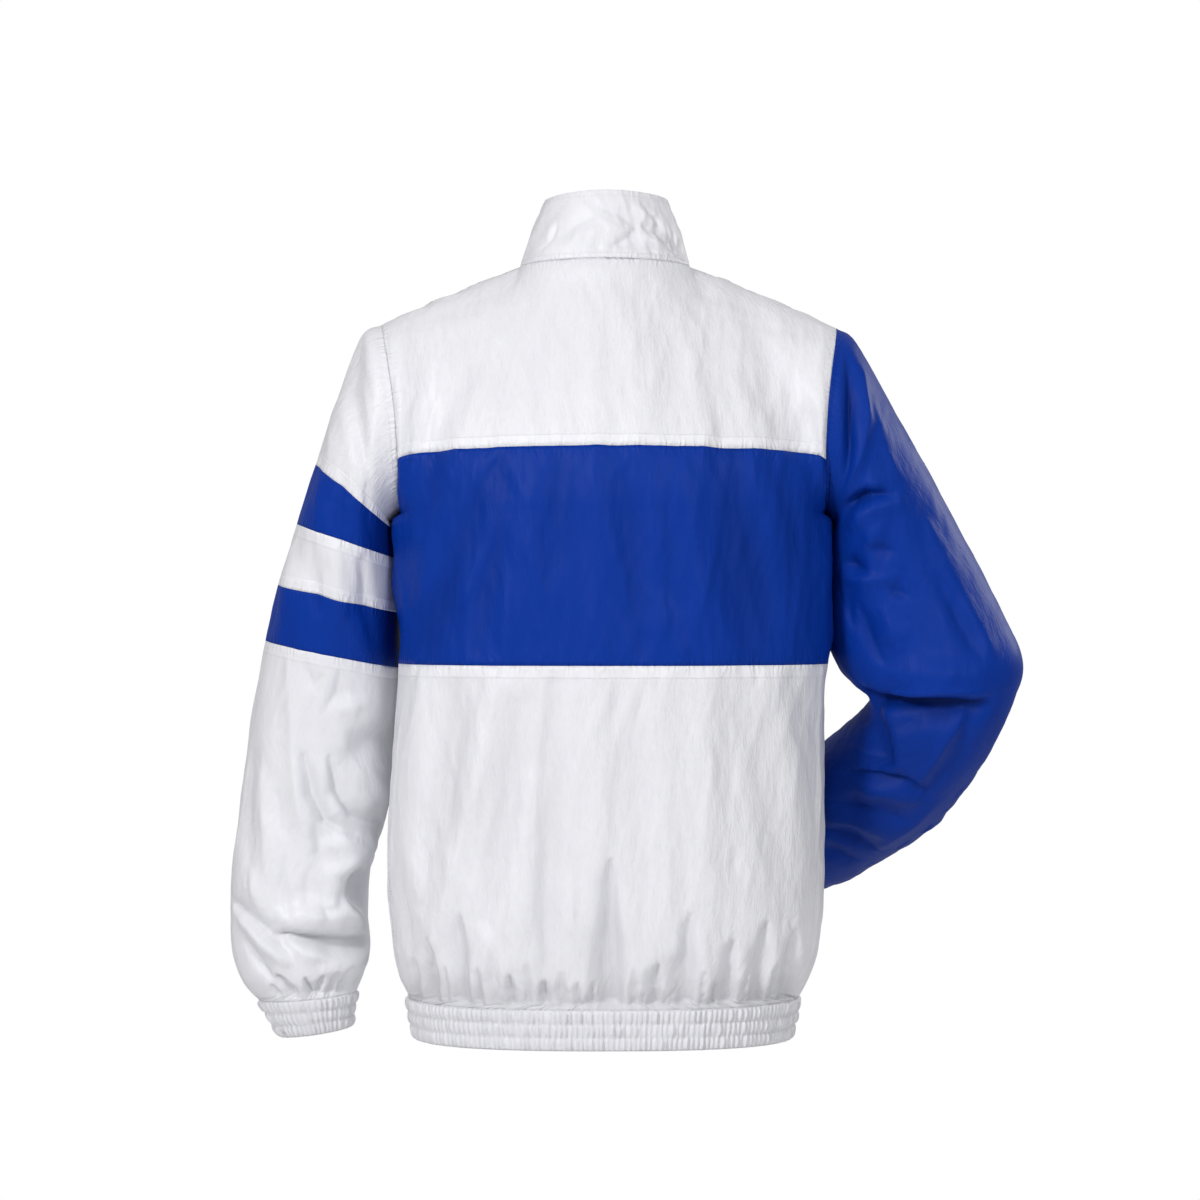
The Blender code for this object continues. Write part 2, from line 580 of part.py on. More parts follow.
def elastic_band(name, top, bottom, outward, ribs, inner_cols, closed, look, rib=0.0016, puff=0.0028):
    """Ribbed tube or strip: three puffed channels between stitch rows, over a plain inside.
    top, bottom, outward: functions of the share round the band."""
    heights = (0.0, 0.17, 0.34, 0.5, 0.66, 0.83, 1.0)
    swell = (0.0, 1.0, 0.15, 1.0, 0.15, 1.0, 0.0)
    cols = 2 * ribs
    share = np.arange(cols if closed else cols + 1) / cols
    t, b, o = top(share), bottom(share), outward(share)
    wave = np.where(np.arange(len(share)) % 2 == 0, 0.0, 1.0)
    wave *= 0.75 + 0.25 * np.sin(37.0 * share + 2.0 * np.sin(23.0 * share))
    rows = []
    for h, s in zip(heights, swell):
        rows.append(t + (b - t) * h + o * (puff * s + rib * wave * (0.35 + 0.65 * s))[:, None])
    width = len(share)
    inner_share = np.arange(inner_cols if closed else inner_cols + 1) / inner_cols
    deep = outward(inner_share) * WALL * 1.1
    points = np.concatenate(rows + [top(inner_share) - deep, bottom(inner_share) - deep])
    base, inside = len(heights) * width, len(inner_share)
    faces = []
    for i in range(len(heights) - 1):
        for j in range(cols):
            k = (j + 1) % width
            faces.append((i * width + j, (i + 1) * width + j, (i + 1) * width + k, i * width + k))
    per = cols // inner_cols
    last = (len(heights) - 1) * width
    for m in range(inner_cols):
        k = (m + 1) % inside
        faces.append((base + m, base + k, base + inside + k, base + inside + m))
        up = [(m * per + q) % width for q in range(per + 1)]
        faces.append(tuple(up) + (base + k, base + m))
        faces.append(tuple(last + i for i in reversed(up)) + (base + inside + m, base + inside + k))
    if not closed:
        for col, inn, flip in ((0, 0, True), (width - 1, inside - 1, False)):
            ring = [i * width + col for i in range(len(heights))] + [base + inside + inn, base + inn]
            faces.append(tuple(ring[::-1] if flip else ring))
    points, faces = np.array(points), faces
    return add_object(name, points, faces, look)


def make_hem():
    """Elastic band of the hem, from one zip tape round to the other."""
    gap = SEAM_GAP / 2

    def loop(z, grow, share):
        parts = [section(z, s, np.linspace(0, 1, 200)) for s in ("left", "back", "right")]
        line = np.concatenate([parts[0], parts[1][1:], parts[2][1:]])
        mid = np.array([0.0035, 0, 0])
        line = (line - mid) * np.array([grow, grow, 1.0]) + mid
        line[0, 0], line[-1, 0] = ZIP_EDGE + gap, -ZIP_EDGE - gap
        length = np.concatenate([[0], np.cumsum(np.linalg.norm(np.diff(line, axis=0), axis=1))])
        return np.stack([np.interp(share * length[-1], length, line[:, k]) for k in range(3)], 1)

    def top(share):
        return loop(HEM_SEAM_Z, 1.0, share) - UP * gap

    def bottom(share):
        line = loop(HEM_SEAM_Z, 0.965, share)
        line[:, 2] = HEM_BOTTOM_Z
        return line

    def outward(share):
        line = loop(HEM_SEAM_Z, 1.0, share)
        way = np.gradient(line, axis=0)
        way = np.stack([way[:, 1], -way[:, 0], 0 * way[:, 0]], 1)
        way[0], way[-1] = (0, -1, 0), (0, -1, 0)
        return unit(way)
    return elastic_band("hem_band", top, bottom, outward, HEM_RIBS, HEM_INNER, False, WHITE)


def make_cuff(name, table, end, look):
    """Elastic cuff that carries a sleeve's last ring down to its own end."""
    centre, half, depth, _ = arm_rings(table)
    c0, a0, d0 = centre[-1], half[-1], depth[-1]
    ox, oz, ix, iz, y, deep = np.array(end, float) * MM
    c1, a1 = np.array([(ox + ix) / 2, y, (oz + iz) / 2]), np.array([(ox - ix) / 2, 0, (oz - iz) / 2])
    along = unit(c1 - c0)
    plane = unit(np.cross(a0, d0))
    plane *= np.sign(plane @ along)
    d1 = unit(np.cross(a1, along)) * deep
    d1 *= np.sign(d1 @ d0)
    spin = 1.0 if np.cross(a0, d0) @ along < 0 else -1.0

    def ring(c, a, d, share):
        turn = (spin * 2 * math.pi * share)[:, None]
        return c + np.cos(turn) * a + np.sin(turn) * d

    def top(share):
        return ring(c0, a0, d0, share) + plane * SEAM_GAP / 2

    def outward(share):
        turn = (spin * 2 * math.pi * share)[:, None]
        return unit(np.cos(turn) * a0 / (a0 @ a0) + np.sin(turn) * d0 / (d0 @ d0))
    return elastic_band(name, top, lambda s: ring(c1, a1, d1, s), outward, CUFF_RIBS, CUFF_INNER, True, look,
                        rib=0.0013, puff=0.0022)


# ---------------------------------------------------------------- collar and zip

def collar_grid(rows=3):
    """Collar rows from the neck seam to its top edge, left zip edge round the back to the right one."""
    angles = {}
    for key, size in (("low", NECK_SEAM), ("high", COLLAR_TOP)):
        parts = [neck_angles(size, s, BACK_NECK_COLS if s == "back" else FRONT_NECK_COLS)
                 for s in ("left", "back", "right")]
        angles[key] = np.concatenate([parts[0], parts[1][1:], parts[2][1:]])
    low, high = neck_loop(NECK_SEAM, angles["low"]), neck_loop(COLLAR_TOP, angles["high"])
    grid = []
    for i in range(rows + 1):
        h = i / rows
        line = low + (high - low) * h
        radial = unit((line - line.mean(0)) * np.array([1, 1, 0]))
        dents = (2.4 * np.exp(-((angles["low"] - 1.75) / 0.12) ** 2) - 2.2 * np.exp(-((angles["low"] - 1.35) / 0.12) ** 2)
                 - 2.0 * np.exp(-((angles["low"] - 0.62) / 0.14) ** 2) - 2.0 * np.exp(-((angles["low"] - 2.6) / 0.16) ** 2))
        grid.append(line + radial * ((0.0015 * 4 * h * (1 - h)) + dents[:, None] * MM * math.sin(math.pi * h)))
    return np.array(grid)


def front_line():
    """Centre front from the hem's bottom edge to the collar top: points on the tape's outer face."""
    rows = [section(HEM_SEAM_Z, "left", [0.0])[0] * np.array([1, 0.965, 0]) + UP * HEM_BOTTOM_Z]
    heights = np.concatenate([np.array(LOWER_ROWS) * MM, np.linspace(BAND_SEAM_Z, ARMPIT_Z, BAND_ROWS + 1)[1:]])
    rows += [section(z, "left", [0.0])[0] for z in heights]
    rows += list(upper_side("left")[1:, 0])
    rows += list(collar_grid()[1:, 0])
    line = np.array(rows)
    line[:, 0] = 0
    return np.concatenate([line[:-4:2], line[-4:]])


def strip(name, line, across, near, far, look):
    """Bar along the centre front between two x values, from near to far in front of the line."""
    way = unit(np.gradient(line, axis=0))
    front = unit(np.cross(way, np.array([1.0, 0, 0])))
    front *= np.sign(-front[:, 1:2])
    lo, hi = min(across), max(across)
    corner = [np.array([x, 0, 0]) + line + front * d for x, d in ((lo, far), (hi, far), (hi, near), (lo, near))]
    n = len(line)
    faces = [(0, n, 2 * n, 3 * n), tuple(k * n + n - 1 for k in (3, 2, 1, 0))]
    for k in range(4):
        m = (k + 1) % 4
        faces += [(k * n + i, k * n + i + 1, m * n + i + 1, m * n + i) for i in range(n - 1)]
    return add_object(name, np.concatenate(corner), faces, look, smooth=False)


def frame_at(line, drop):
    """Place on the centre front a given length below the collar top: point, upward and outward direction."""
    length = np.concatenate([[0], np.cumsum(np.linalg.norm(np.diff(line, axis=0), axis=1))])
    at = length[-1] - drop
    point = np.array([np.interp(at, length, line[:, k]) for k in range(3)])
    up = unit(line[-1] - line[-3])
    out = np.cross(up, np.array([1.0, 0, 0]))
    return point, up, out * np.sign(-out[1])


def prism(outline, lo, hi):
    """Closed prism: an outline in the first two coordinates between lo and hi of the third."""
    n = len(outline)
    points = [(a, b, lo) for a, b in outline] + [(a, b, hi) for a, b in outline]
    faces = [tuple(range(n))[::-1], tuple(range(n, 2 * n))]
    faces += [(i, (i + 1) % n, (i + 1) % n + n, i + n) for i in range(n)]
    return np.array(points, float), faces


def clean():
    for obj in list(bpy.data.objects):
        bpy.data.objects.remove(obj, do_unlink=True)


def solid_on_front(name, point, up, out, pieces, look):
    """Joins prisms given in the slider's own axes (x, outward, up; mm) into one body by Boolean union."""
    side = np.array([1.0, 0, 0])
    made = []
    for k, (points, faces, axes) in enumerate(pieces):
        where = np.zeros((len(points), 3))
        for i, axis in enumerate(axes):
            where[:, axis] = points[:, i]
        world = (where[:, :1] * side + where[:, 1:2] * out + where[:, 2:3] * up) * MM + point
        made.append(add_object(name if k == 0 else f"{name}_join_{k}", world, faces, look, smooth=False))
    for other in made[1:]:
        join = made[0].modifiers.new("join", "BOOLEAN")
        join.operation, join.object, join.solver = "UNION", other, "EXACT"
        other.hide_render, other.display_type = True, "WIRE"
    return made[0]


SLIDER_DROP = 0.016      # slider centre below the collar's top edge
SLIDER_LENGTH, SLIDER_WIDTH = 9.0, 8.6   # mm
PULL_LENGTH, PULL_WIDTH = 24.0, 6.4      # mm
PIN_OUT = 3.7            # mm, hinge axis in front of the tape face


def make_zip():
    line = front_line()
    tape_back = -0.0012
    strip("zip_tape_left", line, (TAPE_EDGE, ZIP_EDGE - SEAM_GAP / 2), tape_back, 0.0, TAPE)
    strip("zip_tape_right", line, (-TAPE_EDGE, -ZIP_EDGE + SEAM_GAP / 2), tape_back, 0.0, TAPE)
    point, up, out = frame_at(line, SLIDER_DROP)
    height = (line - point) @ up
    below = line[height < -(SLIDER_LENGTH / 2 + 3.0) * MM]
    end = point - up * (SLIDER_LENGTH / 2 + 0.4) * MM
    strip("zip_chain", np.concatenate([below, end[None]]), (-CHAIN_HALF, CHAIN_HALF),
          CHAIN_PROUD - CHAIN_THICK, CHAIN_PROUD, PLASTIC)
    w, s = SLIDER_WIDTH / 2, CHAIN_HALF / MM - 0.1
    # x against outward: front plate, web between the tapes, back plate
    body = [(-w, 0.4), (-s, 0.4), (-s, -1.6), (-w, -1.6), (-w, -3.0), (w, -3.0), (w, -1.6), (s, -1.6),
            (s, 0.4), (w, 0.4), (w, 2.2), (-w, 2.2)]
    arch = [(-3.6, 1.8), (-3.6, 4.2), (-2.6, 5.4), (2.6, 5.4), (3.6, 4.2), (3.6, 1.8),
            (2.3, 1.8), (2.3, 3.9), (1.9, 4.5), (-1.9, 4.5), (-2.3, 3.9), (-2.3, 1.8)]
    p0, f0 = prism(body, -SLIDER_LENGTH / 2, SLIDER_LENGTH / 2)
    p1, f1 = prism(arch, -0.9, 0.9)
    solid_on_front("zip_slider", point, up, out, [(p0, f0, (0, 1, 2)), (p1, f1, (2, 1, 0))], METAL)
    # the tab: two side bars round the bridge, a pin through it, a plain end with a small hole
    h, t = PULL_WIDTH / 2, 0.65
    tab = [(-h, 0.65), (-h, -PULL_LENGTH + 1.5), (-h + 1.5, -PULL_LENGTH), (h - 1.5, -PULL_LENGTH),
           (h, -PULL_LENGTH + 1.5), (h, 0.65), (1.5, 0.65), (1.5, -5.6), (-1.5, -5.6), (-1.5, 0.65)]
    p2, f2 = prism(tab, PIN_OUT - t, PIN_OUT + t)
    turn = [(0.62 * math.cos(k * math.pi / 6), 0.62 * math.sin(k * math.pi / 6)) for k in range(12)]
    p3, f3 = prism([(PIN_OUT + a, b) for a, b in turn], -2.4, 2.4)
    pull = solid_on_front("zip_pull", point, up, out, [(p2, f2, (0, 2, 1)), (p3, f3, (1, 2, 0))], METAL)
    return pull


def make_collar():
    grid = collar_grid()
    sheet = Sheet()
    sheet.cover(sheet.add(grid), "collar")
    sheet.finish()
    sheet.points[:, 0] = np.clip(sheet.points[:, 0], -1, 1)
    normal, reach = sheet.point_normals()
    points, faces = cut_panel(sheet, normal, reach, "collar")
    return add_object("collar", points, faces, WHITE)


BLUE_PANELS = ("band", "stripe_upper", "stripe_lower", "right_cap", "right_elbow", "right_forearm")


def main():
    clean()
    sheet, sleeves = build_sheet()
    press_folds(sheet, sleeves)
    normal, reach = sheet.point_normals()
    for panel in dict.fromkeys(sheet.panel.tolist()):
        points, faces = cut_panel(sheet, normal, reach, panel)
        blue = panel.endswith(BLUE_PANELS) or panel == "sleeve_right_upper"
        add_object(panel, points, faces, BLUE if blue else WHITE)
    make_collar()
    make_hem()
    make_cuff("cuff_left", LEFT_ARM, LEFT_CUFF_END, WHITE)
    make_cuff("cuff_right", RIGHT_ARM, RIGHT_CUFF_END, BLUE)
    make_zip()


main()
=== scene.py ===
import math

import bmesh
import bpy
import numpy as np
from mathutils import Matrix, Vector


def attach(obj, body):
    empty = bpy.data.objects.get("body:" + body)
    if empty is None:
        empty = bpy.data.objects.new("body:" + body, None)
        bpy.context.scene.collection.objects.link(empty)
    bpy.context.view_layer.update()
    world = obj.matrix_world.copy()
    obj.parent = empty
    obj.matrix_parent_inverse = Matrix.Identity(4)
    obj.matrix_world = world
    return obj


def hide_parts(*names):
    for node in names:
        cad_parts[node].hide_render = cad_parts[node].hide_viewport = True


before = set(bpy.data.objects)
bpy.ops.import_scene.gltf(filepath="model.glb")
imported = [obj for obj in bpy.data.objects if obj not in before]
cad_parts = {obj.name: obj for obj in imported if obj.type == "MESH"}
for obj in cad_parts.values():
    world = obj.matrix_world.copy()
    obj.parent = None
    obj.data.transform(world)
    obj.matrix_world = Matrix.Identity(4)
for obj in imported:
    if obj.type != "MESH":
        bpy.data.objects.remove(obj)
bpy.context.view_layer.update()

MM = 0.001
FINE = 6                 # how many times finer the cloth is than its solids
CLOTH = 0.0009           # thickness of one cloth wall
SEAM_GAP = 0.00012       # left open between two sewn pieces
ARMPIT_Z, BAND_SEAM_Z, HEM_SEAM_Z, HEM_BOTTOM_Z = -0.230, -0.367, -0.672, -0.7085
YOKE_SEAM_Z, YOKE_SEAM_DROP = -0.1727, 0.0105
ARMHOLE_DEPTH = 0.080
ZIP_EDGE = 0.0090
SHOULDER_COLS, BACK_NECK_COLS, FRONT_NECK_COLS = 10 * FINE, 14 * FINE, 7 * FINE
YOKE_ROWS, ARM_ROWS = 7 * FINE, 3 * FINE
BAND_ROWS, LOWER_ROWS = 32, 100
BACK_COLS = 2 * SHOULDER_COLS + BACK_NECK_COLS
FRONT_COLS = SHOULDER_COLS + FRONT_NECK_COLS
HEM_RIBS, CUFF_RIBS = 196, 52
CHANNEL_ROWS = 7         # rows of points between two rows of stitches in the elastic
DEEPEST = 14.0           # painted-shade value, mm, at which the painted shade of a crease is full
LEFT_SLEEVE_SHADE = 0.6  # share of the painted crease shade kept on the white sleeve
TUCK_SHADE, FOREARM_SHADE = 12.0, 8.0    # painted shade between sleeve and body, and painted shade on the right forearm, mm
GATHER_STEP = 7.5        # mm of the hem seam for each small gather
GATHER_FOOT = -671       # mm, where the gathers end on the hem band
NEAR_ROW, EDGE_ROW = 0.0040, 0.0060      # rows of stitches: distance from their seam
UPPER_ROW, LOWER_ROW, CAP_ROW, COLLAR_ROW = 0.0105, 0.0110, 0.0100, 0.005
TOOTH_PITCH = 0.0014     # from one zip tooth to the next
SLEEVE_FINE = dict(left=11, right=9)     # sleeves are finer than the body, for their sharp folds
SLEEVE_COLS = dict(left=204, right=170)   # points round a sleeve

# body sections, mm: z, left, right, back, front, y of left side seam, y of right side seam
BODY = np.array([
    (-672, 182, -175, 119, -120, 30, -4),
    (-655, 190, -184, 125, -127, 34, -4),
    (-635, 195, -191, 129, -131, 36, -4),
    (-600, 199, -196, 131, -134, 38, -4),
    (-530, 201, -198, 132, -136, 36, -4),
    (-450, 196, -199, 133, -135, 28, -2),
    (-367, 190, -199, 134, -133, 14, 0),
    (-290, 189, -199, 136, -131, 4, 0),
    (-230, 189, -199, 137, -128, 0, 0),
], float)
BACK_POWER, FRONT_POWER = 2.55, 2.05
NECK_SEAM = dict(left=80, right=-76.4, y_mid=-6, y_back=58, y_front=-80, z_side=-2, z_back=0, z_front=-38)
COLLAR_TOP = dict(left=57, right=-56.4, y_mid=-8, y_back=43, y_front=-66, z_side=59, z_back=63, z_front=47)
SHOULDER_TIP = dict(left=(206, 0, -56), right=(-210, 0, -59))

# sleeves, mm: outer x, outer z, inner x, inner z, y of the middle, half depth, rings up to this row
LEFT_ARM = np.array([
    (206, -56, 189, -230, 0, 80, 0),
    (225, -67, 196, -235, 0, 80, 1),
    (247, -124, 199, -239, -2, 80, 2),
    (268, -184, 196, -244, -8, 80, 2),
    (286, -239, 193, -271, -17, 79, 2),
    (304, -295, 192, -321, -29, 77, 2),
    (317, -347, 192, -372, -42, 75, 2),
    (329, -403, 194, -430, -52, 72, 2),
    (338, -459, 199, -478, -57, 69, 2),
    (346, -515, 208, -514, -60, 67, 2),
    (352, -571, 222, -562, -60, 64, 2),
    (353, -610, 224, -603, -60, 62, 2),
    (350, -640, 222, -636, -60, 59, 1),
    (342, -664, 228, -658, -60, 54, 1),
    (326, -684, 235, -676, -60, 43, 1),
], float)
LEFT_CUFF_END = (306, -718, 241, -709, -60, 32)
RIGHT_ARM = np.array([
    (-210, -59, -199, -230, 0, 80, 0),
    (-229, -72, -205, -236, -2, 80, 1),
    (-259, -125, -207, -243, -5, 79, 2),
    (-290, -180, -202, -260, -8, 77, 2),
    (-320, -235, -202, -298, -12, 75, 2),
    (-346, -282, -202, -338, -13, 73, 2),
    (-370, -330, -212, -368, -10, 71, 2),
    (-384, -368, -228, -388, -6, 69, 1),
    (-375, -403, -242, -399, -10, 66, 1),
    (-351, -457, -238, -412, -28, 62, 1),
    (-317, -510, -221, -428, -58, 58, 2),
    (-289, -537, -200, -448, -88, 56, 1),
    (-261, -558, -180, -467, -114, 54, 2),
    (-236, -576, -162, -487, -137, 50, 1),
    (-208, -587, -147, -511, -156, 42, 1),
], float)
RIGHT_CUFF_END = (-184, -594, -138, -537, -171, 30)


# Creases, mm. Each row: width, depth (outwards is positive), lean (one side steeper), then the
# x, z of its points.
BACK_YOKE = (
    (15, -5.5, 0.3, (132, -82), (125, -105), (156, -168)),
    (9, 2.2, 0.2, (118, -84), (112, -110), (140, -172)),
    (8, -2.4, 0.1, (60, -58), (59, -110), (56, -172)),
    (7, 1.8, 0.0, (48, -66), (46, -120), (42, -172)),
    (8, -2.4, -0.2, (33, -40), (31, -100), (27, -172)),
    (9, 1.8, 0.0, (14, -52), (12, -110), (10, -172)),
    (8, -2.2, 0.3, (-2, -56), (-5, -110), (-6, -172)),
    (7, 1.4, 0.0, (-22, -48), (-26, -120), (-28, -172)),
    (10, -3.0, 0.2, (-55, -60), (-60, -110), (-62, -172)),
    (8, 1.8, 0.0, (-74, -80), (-80, -130), (-84, -172)),
    (9, -4.2, 0.4, (-86, -104), (-97, -138), (-108, -172)),
    (9, -4.4, 0.4, (-126, -108), (-146, -140), (-161, -172)),
    (8, 2.4, 0.0, (-112, -112), (-128, -146), (-138, -172)),
    (8, -3.8, 0.3, (-166, -132), (-178, -152), (-186, -174)),
    (9, 2.0, 0.2, (-150, -116), (-166, -140), (-174, -166)),
    (8, -2.4, 0.0, (92, -110), (98, -140), (106, -172)),
    (7, 1.8, 0.0, (150, -96), (160, -130), (172, -170)),
    (6, -2.0, 0.2, (146, -48), (120, -36), (98, -30)),      # along the shoulders
    (5, -1.6, 0.0, (182, -62), (150, -52), (114, -46)),
    (6, -2.0, 0.2, (-84, -32), (-110, -38), (-138, -48)),
    (6, -2.2, 0.2, (-116, -56), (-156, -64), (-198, -72)),
    (5, -1.6, 0.0, (-166, -56), (-184, -62), (-200, -68)),
    (12, 1.6, 0.0, (60, -36), (0, -46), (-60, -38)),
    (4, -2.6, 0.2, (46, -8), (40, -19), (31, -32)),            # short puckers under the collar
    (4, -2.6, 0.0, (29, -8), (23, -20), (16, -33)),
    (3.5, -2.2, 0.0, (11, -8), (8, -18), (5, -28)),
    (4, -2.4, 0.0, (-12, -8), (-14, -20), (-16, -32)),
    (4, -2.2, -0.2, (-34, -8), (-38, -20), (-44, -32)),
)
BACK_BAND = (
    (9, -4.0, 0.3, (156, -181), (159, -206), (165, -239)),
    (15, -7.5, 0.45, (103, -195), (120, -240), (146, -300), (165, -350)),
    (10, 5.0, -0.3, (94, -221), (108, -262), (130, -309)),
    (9, -4.6, 0.2, (90, -205), (101, -280), (116, -353)),
    (8, 3.0, 0.0, (79, -196), (86, -270), (92, -340)),
    (9, 3.2, 0.1, (68, -212), (66, -268), (62, -330)),
    (9, -4.0, 0.3, (42, -184), (46, -230), (50, -288)),
    (6, -1.8, 0.0, (28, -200), (24, -262), (22, -330)),
    (10, 3.8, -0.2, (8, -177), (4, -260), (2, -362)),
    (9, -5.0, 0.35, (-14, -200), (-22, -280), (-29, -358)),
    (8, 2.6, 0.0, (-40, -184), (-42, -260), (-48, -330)),
    (7, -2.4, 0.1, (-54, -220), (-58, -290), (-56, -356)),
    (10, 4.4, -0.2, (-46, -310), (-54, -340), (-64, -362)),
    (9, 2.6, 0.0, (-70, -200), (-78, -270), (-84, -340)),
    (20, -9.0, 0.3, (-100, -182), (-116, -262), (-130, -360)),
    (9, 3.2, 0.2, (-126, -186), (-146, -250), (-158, -330)),
    (8, -3.0, 0.2, (-150, -184), (-166, -222), (-176, -272)),
    (8, 2.4, 0.0, (-172, -190), (-180, -260), (-184, -340)),
    (6, -1.8, 0.0, (132, -186), (138, -220), (150, -262)),
    (6, 1.8, 0.0, (142, -186), (152, -230), (166, -292)),
    (7, -2.6, 0.2, (152, -300), (170, -330), (180, -362)),
)
BACK_LOWER = (
    (12, 8.5, -0.4, (98, -386), (112, -450), (136, -540), (156, -613)),
    (11, -9.0, 0.3, (140, -392), (150, -470), (163, -580)),
    (8, 3.0, 0.0, (168, -384), (176, -470), (178, -560)),
    (8, -5.0, 0.2, (118, -380), (132, -450), (146, -520)),
    (9, -6.4, 0.2, (78, -402), (88, -480), (108, -590)),
    (8, 3.4, 0.0, (66, -470), (74, -560), (84, -630)),
    (10, -7.5, 0.35, (48, -384), (52, -500), (56, -655)),
    (9, 2.4, -0.2, (30, -376), (32, -470), (36, -600)),
    (10, 2.6, -0.2, (8, -379), (12, -520), (15, -655)),
    (9, -1.6, 0.1, (-8, -380), (-6, -450), (-9, -530)),
    (9, -2.8, 0.3, (-26, -394), (-30, -470), (-29, -565)),
    (8, 1.8, 0.0, (-46, -380), (-50, -480), (-58, -620)),
    (9, -2.0, 0.2, (-66, -400), (-70, -500), (-66, -600)),
    (11, 3.4, -0.3, (-84, -384), (-88, -500), (-86, -660)),
    (8, -3.0, 0.1, (-104, -382), (-108, -460), (-112, -540)),
    (14, -4.5, 0.35, (-122, -386), (-140, -470), (-162, -590)),
    (9, 2.6, 0.0, (-146, -384), (-164, -460), (-176, -560)),
    (8, -2.8, 0.1, (-168, -380), (-182, -430), (-188, -500)),
    (7, 2.2, 0.0, (120, -560), (112, -610), (104, -650)),
    (6, -2.0, 0.0, (24, -540), (22, -600), (26, -650)),
    (7, -2.6, 0.3, (186, -560), (176, -610), (170, -650)),
)
# gathers over the hem band: x at the top, z at the top, x at the band, width, depth
BACK_GATHERS = (
    (176, -632, 172, 5, -3.4), (160, -612, 157, 6, -5.5), (146, -634, 144, 5, -3.0),
    (131, -588, 128, 6, -6.0), (115, -636, 113, 5, -3.6), (101, -622, 99, 5, -3.6),
    (86, -640, 84, 5, -4.6), (70, -630, 69, 5, -3.0), (56, -646, 54, 5, -4.4),
    (40, -638, 39, 5, -3.2), (26, -646, 25, 4, -3.4), (12, -640, 12, 5, -4.6),
    (-4, -540, -6, 8, -8.0), (-24, -634, -24, 5, -3.6), (-45, -628, -44, 6, -5.0),
    (-58, -640, -58, 4, -3.0), (-73, -588, -72, 7, -6.5), (-86, -636, -85, 5, -3.4),
    (-97, -644, -96, 5, -4.2), (-112, -610, -110, 6, -5.6), (-127, -636, -125, 5, -3.4),
    (-143, -594, -138, 6, -6.0), (-155, -632, -150, 5, -3.4), (-170, -606, -164, 6, -5.0),
)
FRONT_GATHERS = (
    (22, -636, 22, 5, -3.6), (34, -600, 34, 6, -5.4), (50, -640, 49, 5, -3.4),
    (64, -622, 62, 5, -4.4), (78, -638, 76, 5, -3.0), (93, -606, 90, 6, -5.8),
    (108, -640, 106, 5, -3.6), (122, -630, 119, 5, -3.8), (140, -598, 136, 6, -5.8),
    (154, -634, 150, 5, -3.4), (168, -624, 163, 5, -4.2), (-20, -640, -20, 5, -3.4),
    (-36, -602, -36, 6, -5.2), (-50, -636, -49, 5, -3.6), (-64, -644, -63, 5, -3.4),
    (-78, -596, -76, 6, -5.8), (-95, -634, -93, 5, -3.6), (-112, -610, -108, 6, -5.2),
    (-126, -640, -122, 5, -3.4), (-140, -620, -134, 6, -4.6), (-158, -600, -150, 6, -5.0),
)
FRONT_UPPER = (
    (12, -5.0, 0.3, (62, -62), (100, -104), (150, -165)),
    (9, 2.6, 0.0, (48, -72), (84, -118), (122, -172)),
    (8, -2.6, 0.1, (34, -84), (50, -124), (68, -174)),
    (9, -3.6, 0.2, (118, -66), (146, -106), (170, -152)),
    (12, -5.0, 0.3, (-66, -66), (-104, -110), (-152, -168)),
    (9, 2.6, 0.0, (-50, -76), (-84, -124), (-116, -172)),
    (8, -2.6, 0.1, (-32, -90), (-46, -130), (-60, -174)),
    (9, -3.6, 0.2, (-120, -70), (-148, -112), (-174, -156)),
    (6, -2.0, 0.2, (110, -50), (146, -62), (184, -74)),
    (6, -2.0, 0.2, (-108, -52), (-146, -66), (-186, -78)),
)
FRONT_BAND = (
    (13, -6.0, 0.4, (116, -184), (98, -260), (78, -356)),
    (10, 4.4, 0.0, (150, -190), (142, -270), (128, -356)),
    (9, -4.0, 0.2, (172, -190), (164, -260), (158, -340)),
    (9, 3.2, 0.0, (46, -190), (48, -270), (44, -356)),
    (8, -3.0, 0.2, (66, -200), (62, -280), (64, -350)),
    (13, -6.0, 0.4, (-106, -184), (-96, -260), (-84, -356)),
    (10, 4.4, 0.0, (-150, -196), (-144, -280), (-138, -356)),
    (9, -4.4, 0.2, (-176, -196), (-168, -270), (-164, -350)),
    (9, 3.0, 0.0, (-50, -200), (-48, -280), (-46, -356)),
    (8, -3.0, 0.2, (-70, -200), (-66, -270), (-70, -350)),
)
FRONT_LOWER = (
    (12, -6.0, 0.4, (58, -384), (66, -480), (78, -640)),
    (11, 5.0, -0.2, (112, -382), (116, -500), (122, -650)),
    (10, -5.0, 0.3, (150, -390), (158, -480), (160, -600)),
    (9, 3.4, 0.0, (36, -384), (40, -480), (44, -600)),
    (8, -3.4, 0.2, (92, -400), (96, -480), (100, -590)),
    (9, 3.6, 0.0, (178, -400), (182, -480), (178, -590)),
    (12, -6.0, 0.4, (-56, -384), (-68, -460), (-86, -570)),
    (11, 4.6, -0.2, (-118, -384), (-122, -500), (-126, -650)),
    (9, -4.0, 0.3, (-148, -390), (-156, -480), (-158, -660)),
    (9, 3.4, 0.0, (-36, -384), (-38, -480), (-42, -600)),
    (8, -3.4, 0.2, (-94, -400), (-96, -480), (-104, -600)),
    (9, 3.4, 0.0, (-176, -396), (-182, -480), (-180, -590)),
)
